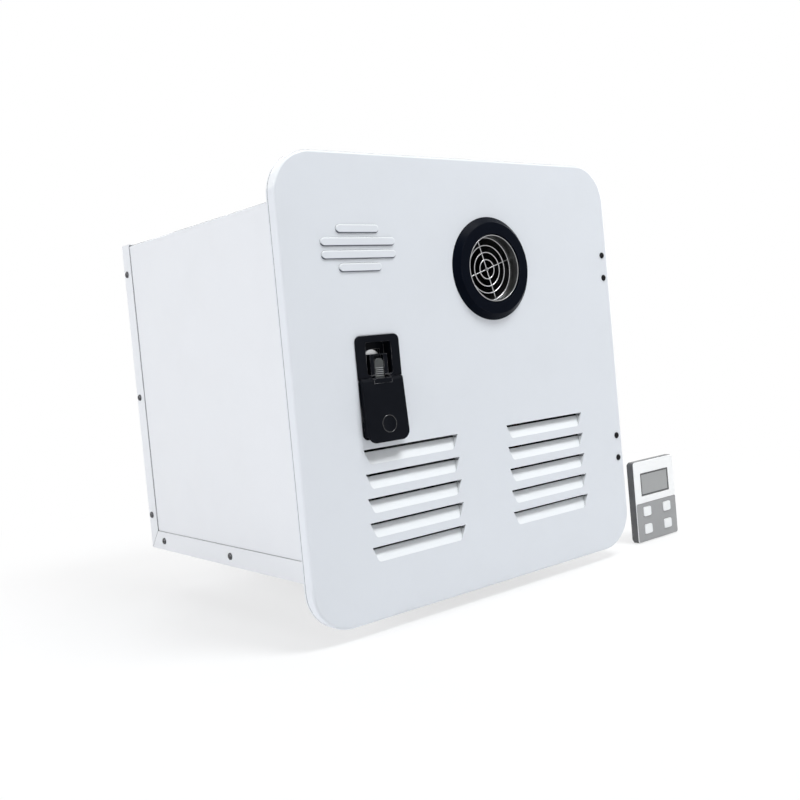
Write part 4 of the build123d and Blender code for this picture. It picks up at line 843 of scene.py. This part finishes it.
ribSettings = {  # mm, on the lands between the grooves of the tab
    "first": 2.85,
    "step": 1.6,
    "count": 5,
    "wire": 0.32,
    "margin": 0.7,
    "sink": 0.10,
    "face": 0.3,  # mm behind the foremost corner that still belong to the tab's face
}


def makeTabRibs(s):  # finger grips across the foot of the sliding tab, painted lighter as a highlight
    places = [vert.co for vert in nodes["latch_tab"].data.vertices]
    front = min(place.y for place in places)
    face = [place for place in places if place.y < front + s["face"] * mm]
    left = min(place.x for place in face) + s["margin"] * mm
    right = max(place.x for place in face) - s["margin"] * mm
    foot = min(place.z for place in face)
    y = front + s["sink"] * mm
    build = bmesh.new()
    for rib in range(s["count"]):
        z = foot + (s["first"] + rib * s["step"]) * mm
        addRod(build, Vector((left, y, z)), Vector((right, y, z)), s["wire"] * mm)
    addPiece("tabRibs", build, "ribHighlightGrey", "lock")


makeTabRibs(ribSettings)
print("heater: latch done")


# screws with a cross recess

screwSettings = {
    "case_screws": {
        "finish": "darkPlated", "body": "case", "head": 2.0, "shank": 1.8,
        "slot": 0.42, "reach": 1.75, "depth": 1.1,
    },
    "hinge_screws": {
        "finish": "blackSteel", "body": "door", "head": 1.8, "shank": 1.5,
        "slot": 0.40, "reach": 1.6, "depth": 1.0,
    },
}

screwShape = {
    "rings": 26,
    "segments": 72,
    "rim": 0.30,  # share of the head's height that lies below the dome
    "round": 0.995,  # just under 1, so that the dome's slope stays finite at its edge
    "wall": 0.12,  # mm over which the recess reaches its depth
    "taper": 0.45,  # share of the depth lost towards the ends of the cross
    "touching": 1,  # micron, corners nearer than this are one
}


def solidBoxes(node):  # corners of each separate solid of a CAD node
    build = bmesh.new()
    build.from_mesh(nodes[node].data)
    bmesh.ops.remove_doubles(build, verts=build.verts, dist=screwShape["touching"] * micron)
    left = set(build.verts)
    boxes = []
    while left:
        grown = [left.pop()]
        places = []
        while grown:
            vert = grown.pop()
            places.append(vert.co.copy())
            for edge in vert.link_edges:
                other = edge.other_vert(vert)
                if other in left:
                    left.remove(other)
                    grown.append(other)
        boxes.append(tuple(
            Vector([pick(place[axis] for place in places) for axis in range(3)]) for pick in (min, max)
        ))
    build.free()
    return sorted(boxes, key=lambda box: tuple(round(value, 5) for value in box[0]))


def makeScrews(node, s, shape):
    head, shank, slot, reach, depth = (s[key] * mm for key in ("head", "shank", "slot", "reach", "depth"))
    build = bmesh.new()
    for low, high in solidBoxes(node):
        spread = high - low
        middle = (low + high) / 2
        axis = min(range(3), key=lambda index: abs(spread[index - 1] - spread[index - 2]))
        outward = Vector((0, 0, 0))
        outward[axis] = 1 if axis != 1 and middle[axis] > 0 else -1
        radius = spread[axis - 1] / 2
        seat = middle + outward * (spread[axis] / 2 - head)

        def dished(ring, height, angle):
            x, y = abs(ring * math.cos(angle)), abs(ring * math.sin(angle))
            inside = min(slot - min(x, y), reach - max(x, y))
            cut = max(0.0, min(1.0, inside / (shape["wall"] * mm)))
            return ring, height - cut * depth * (1 - shape["taper"] * ring / reach)

        dome = []
        for step in range(shape["rings"], -1, -1):
            ring = radius * step / shape["rings"]
            bulge = math.sqrt(1 - (ring / radius) ** 2 * shape["round"])
            dome.append((ring, head * (shape["rim"] + (1 - shape["rim"]) * bulge)))
        turn = turnTo(seat, outward)
        addLathe(build, [(radius, 0), *dome], turn, shape["segments"], False, dished)
        addLathe(build, [(shank, 0), (radius, 0)], turn, shape["segments"], False)
        addRod(build, seat, seat - outward * (spread[axis] - head), shank)
    addPiece(node.replace("_s", "S") + "Detailed", build, s["finish"], s["body"], (node,))


for screwNode, screwValues in screwSettings.items():
    makeScrews(screwNode, screwValues, screwShape)
print("heater: screws done")


# threaded connections at the rear

waterThread = {"radius": 10.5, "bore": 5.5, "collar": 15.0, "pitch": 1.81, "depth": 0.95}

fittingSettings = {
    "cold_inlet": waterThread,
    "hot_outlet": waterThread,
    "gas_inlet": {"radius": 8.0, "bore": 3.93, "collar": 11.43, "pitch": 1.41, "depth": 0.75},
}

fittingShape = {
    "front": 335, "seat": 344, "cover": 349, "start": 351, "end": 375,  # mm along Y
    "neck": 1.03,  # of the barrel's radius, where it leaves the cover
    "leadIn": 0.6,
    "chamfer": 1.4,
    "mouth": 0.4,
    "flank": 1.25,  # over 1, so that the groove's floor is flat
    "rows": 10,  # of corners in a turn of the thread
    "segments": 96,
    "nutEdge": 0.5,
}


def makeFitting(node, s, shape):
    low, high = cornersOf(node)
    middle = (low + high) / 2
    turn = turnTo(Vector((middle.x, 0, middle.z)), (0, 1, 0))
    radius, bore, collar, pitch, depth = (s[key] for key in ("radius", "bore", "collar", "pitch", "depth"))
    seat, cover, start, end = (shape[key] for key in ("seat", "cover", "start", "end"))
    first, last = start + shape["leadIn"], end - shape["chamfer"]
    neck, mouth = radius * shape["neck"], shape["mouth"]

    def threaded(ring, height, angle):
        if not first * mm < height < last * mm:  # only the barrel has corners in between
            return ring, height
        phase = (height / (pitch * mm) - angle / (2 * math.pi)) % 1
        groove = min(1.0, shape["flank"] * (1 - abs(2 * phase - 1)))
        fade = min(1.0, (height / mm - first) / pitch)
        return ring - depth * mm * groove * fade, height

    rows = int((last - first) / pitch * shape["rows"])
    barrel = [(radius, first + (last - first) * row / rows) for row in range(rows + 1)]
    profile = [
        (bore, seat), (bore, end - mouth), (bore + mouth, end), (radius - depth - mouth, end),
        *reversed(barrel), (radius, start), (neck, start), (neck, cover), (collar, cover), (collar, seat),
    ]
    build = bmesh.new()
    profile = [(ring * mm, height * mm) for ring, height in profile]
    addLathe(build, profile, turn, shape["segments"], True, threaded)
    hexagon = bmesh.ops.create_cone(
        build, cap_ends=True, segments=6, radius1=collar * mm, radius2=collar * mm,
        depth=(seat - shape["front"]) * mm,
        matrix=turn @ Matrix.Translation((0, 0, (seat + shape["front"]) / 2 * mm)))
    softenEdges(build, hexagon["verts"], shape["nutEdge"] * mm)
    addPiece(node.split("_")[0] + "FittingThreaded", build, "bareBrass", "case", (node,))


for fittingNode, fittingValues in fittingSettings.items():
    makeFitting(fittingNode, fittingValues, fittingShape)
print("heater: connections done")


# controller

displaySettings = {"inset": 0.35, "width": 1.1, "proud": 0.12}


def makeDisplayFrame(s):  # dark lip round the display
    low, high = cornersOf("controller_screen")
    inset, width, proud = (s[key] * mm for key in ("inset", "width", "proud"))
    front, back = low.y - proud, low.y + proud
    build = bmesh.new()
    rows = []
    for margin, y in ((inset, back), (inset, front), (inset + width, front), (inset + width, back)):
        left, right, foot, top = low.x + margin, high.x - margin, low.z + margin, high.z - margin
        corners = ((left, foot), (right, foot), (right, top), (left, top))
        rows.append([build.verts.new((x, y, z)) for x, z in corners])
    joinRows(build, rows, True)
    addPiece("displayFrame", build, "shadeGrey", "case")


makeDisplayFrame(displaySettings)
print("heater: controller done")
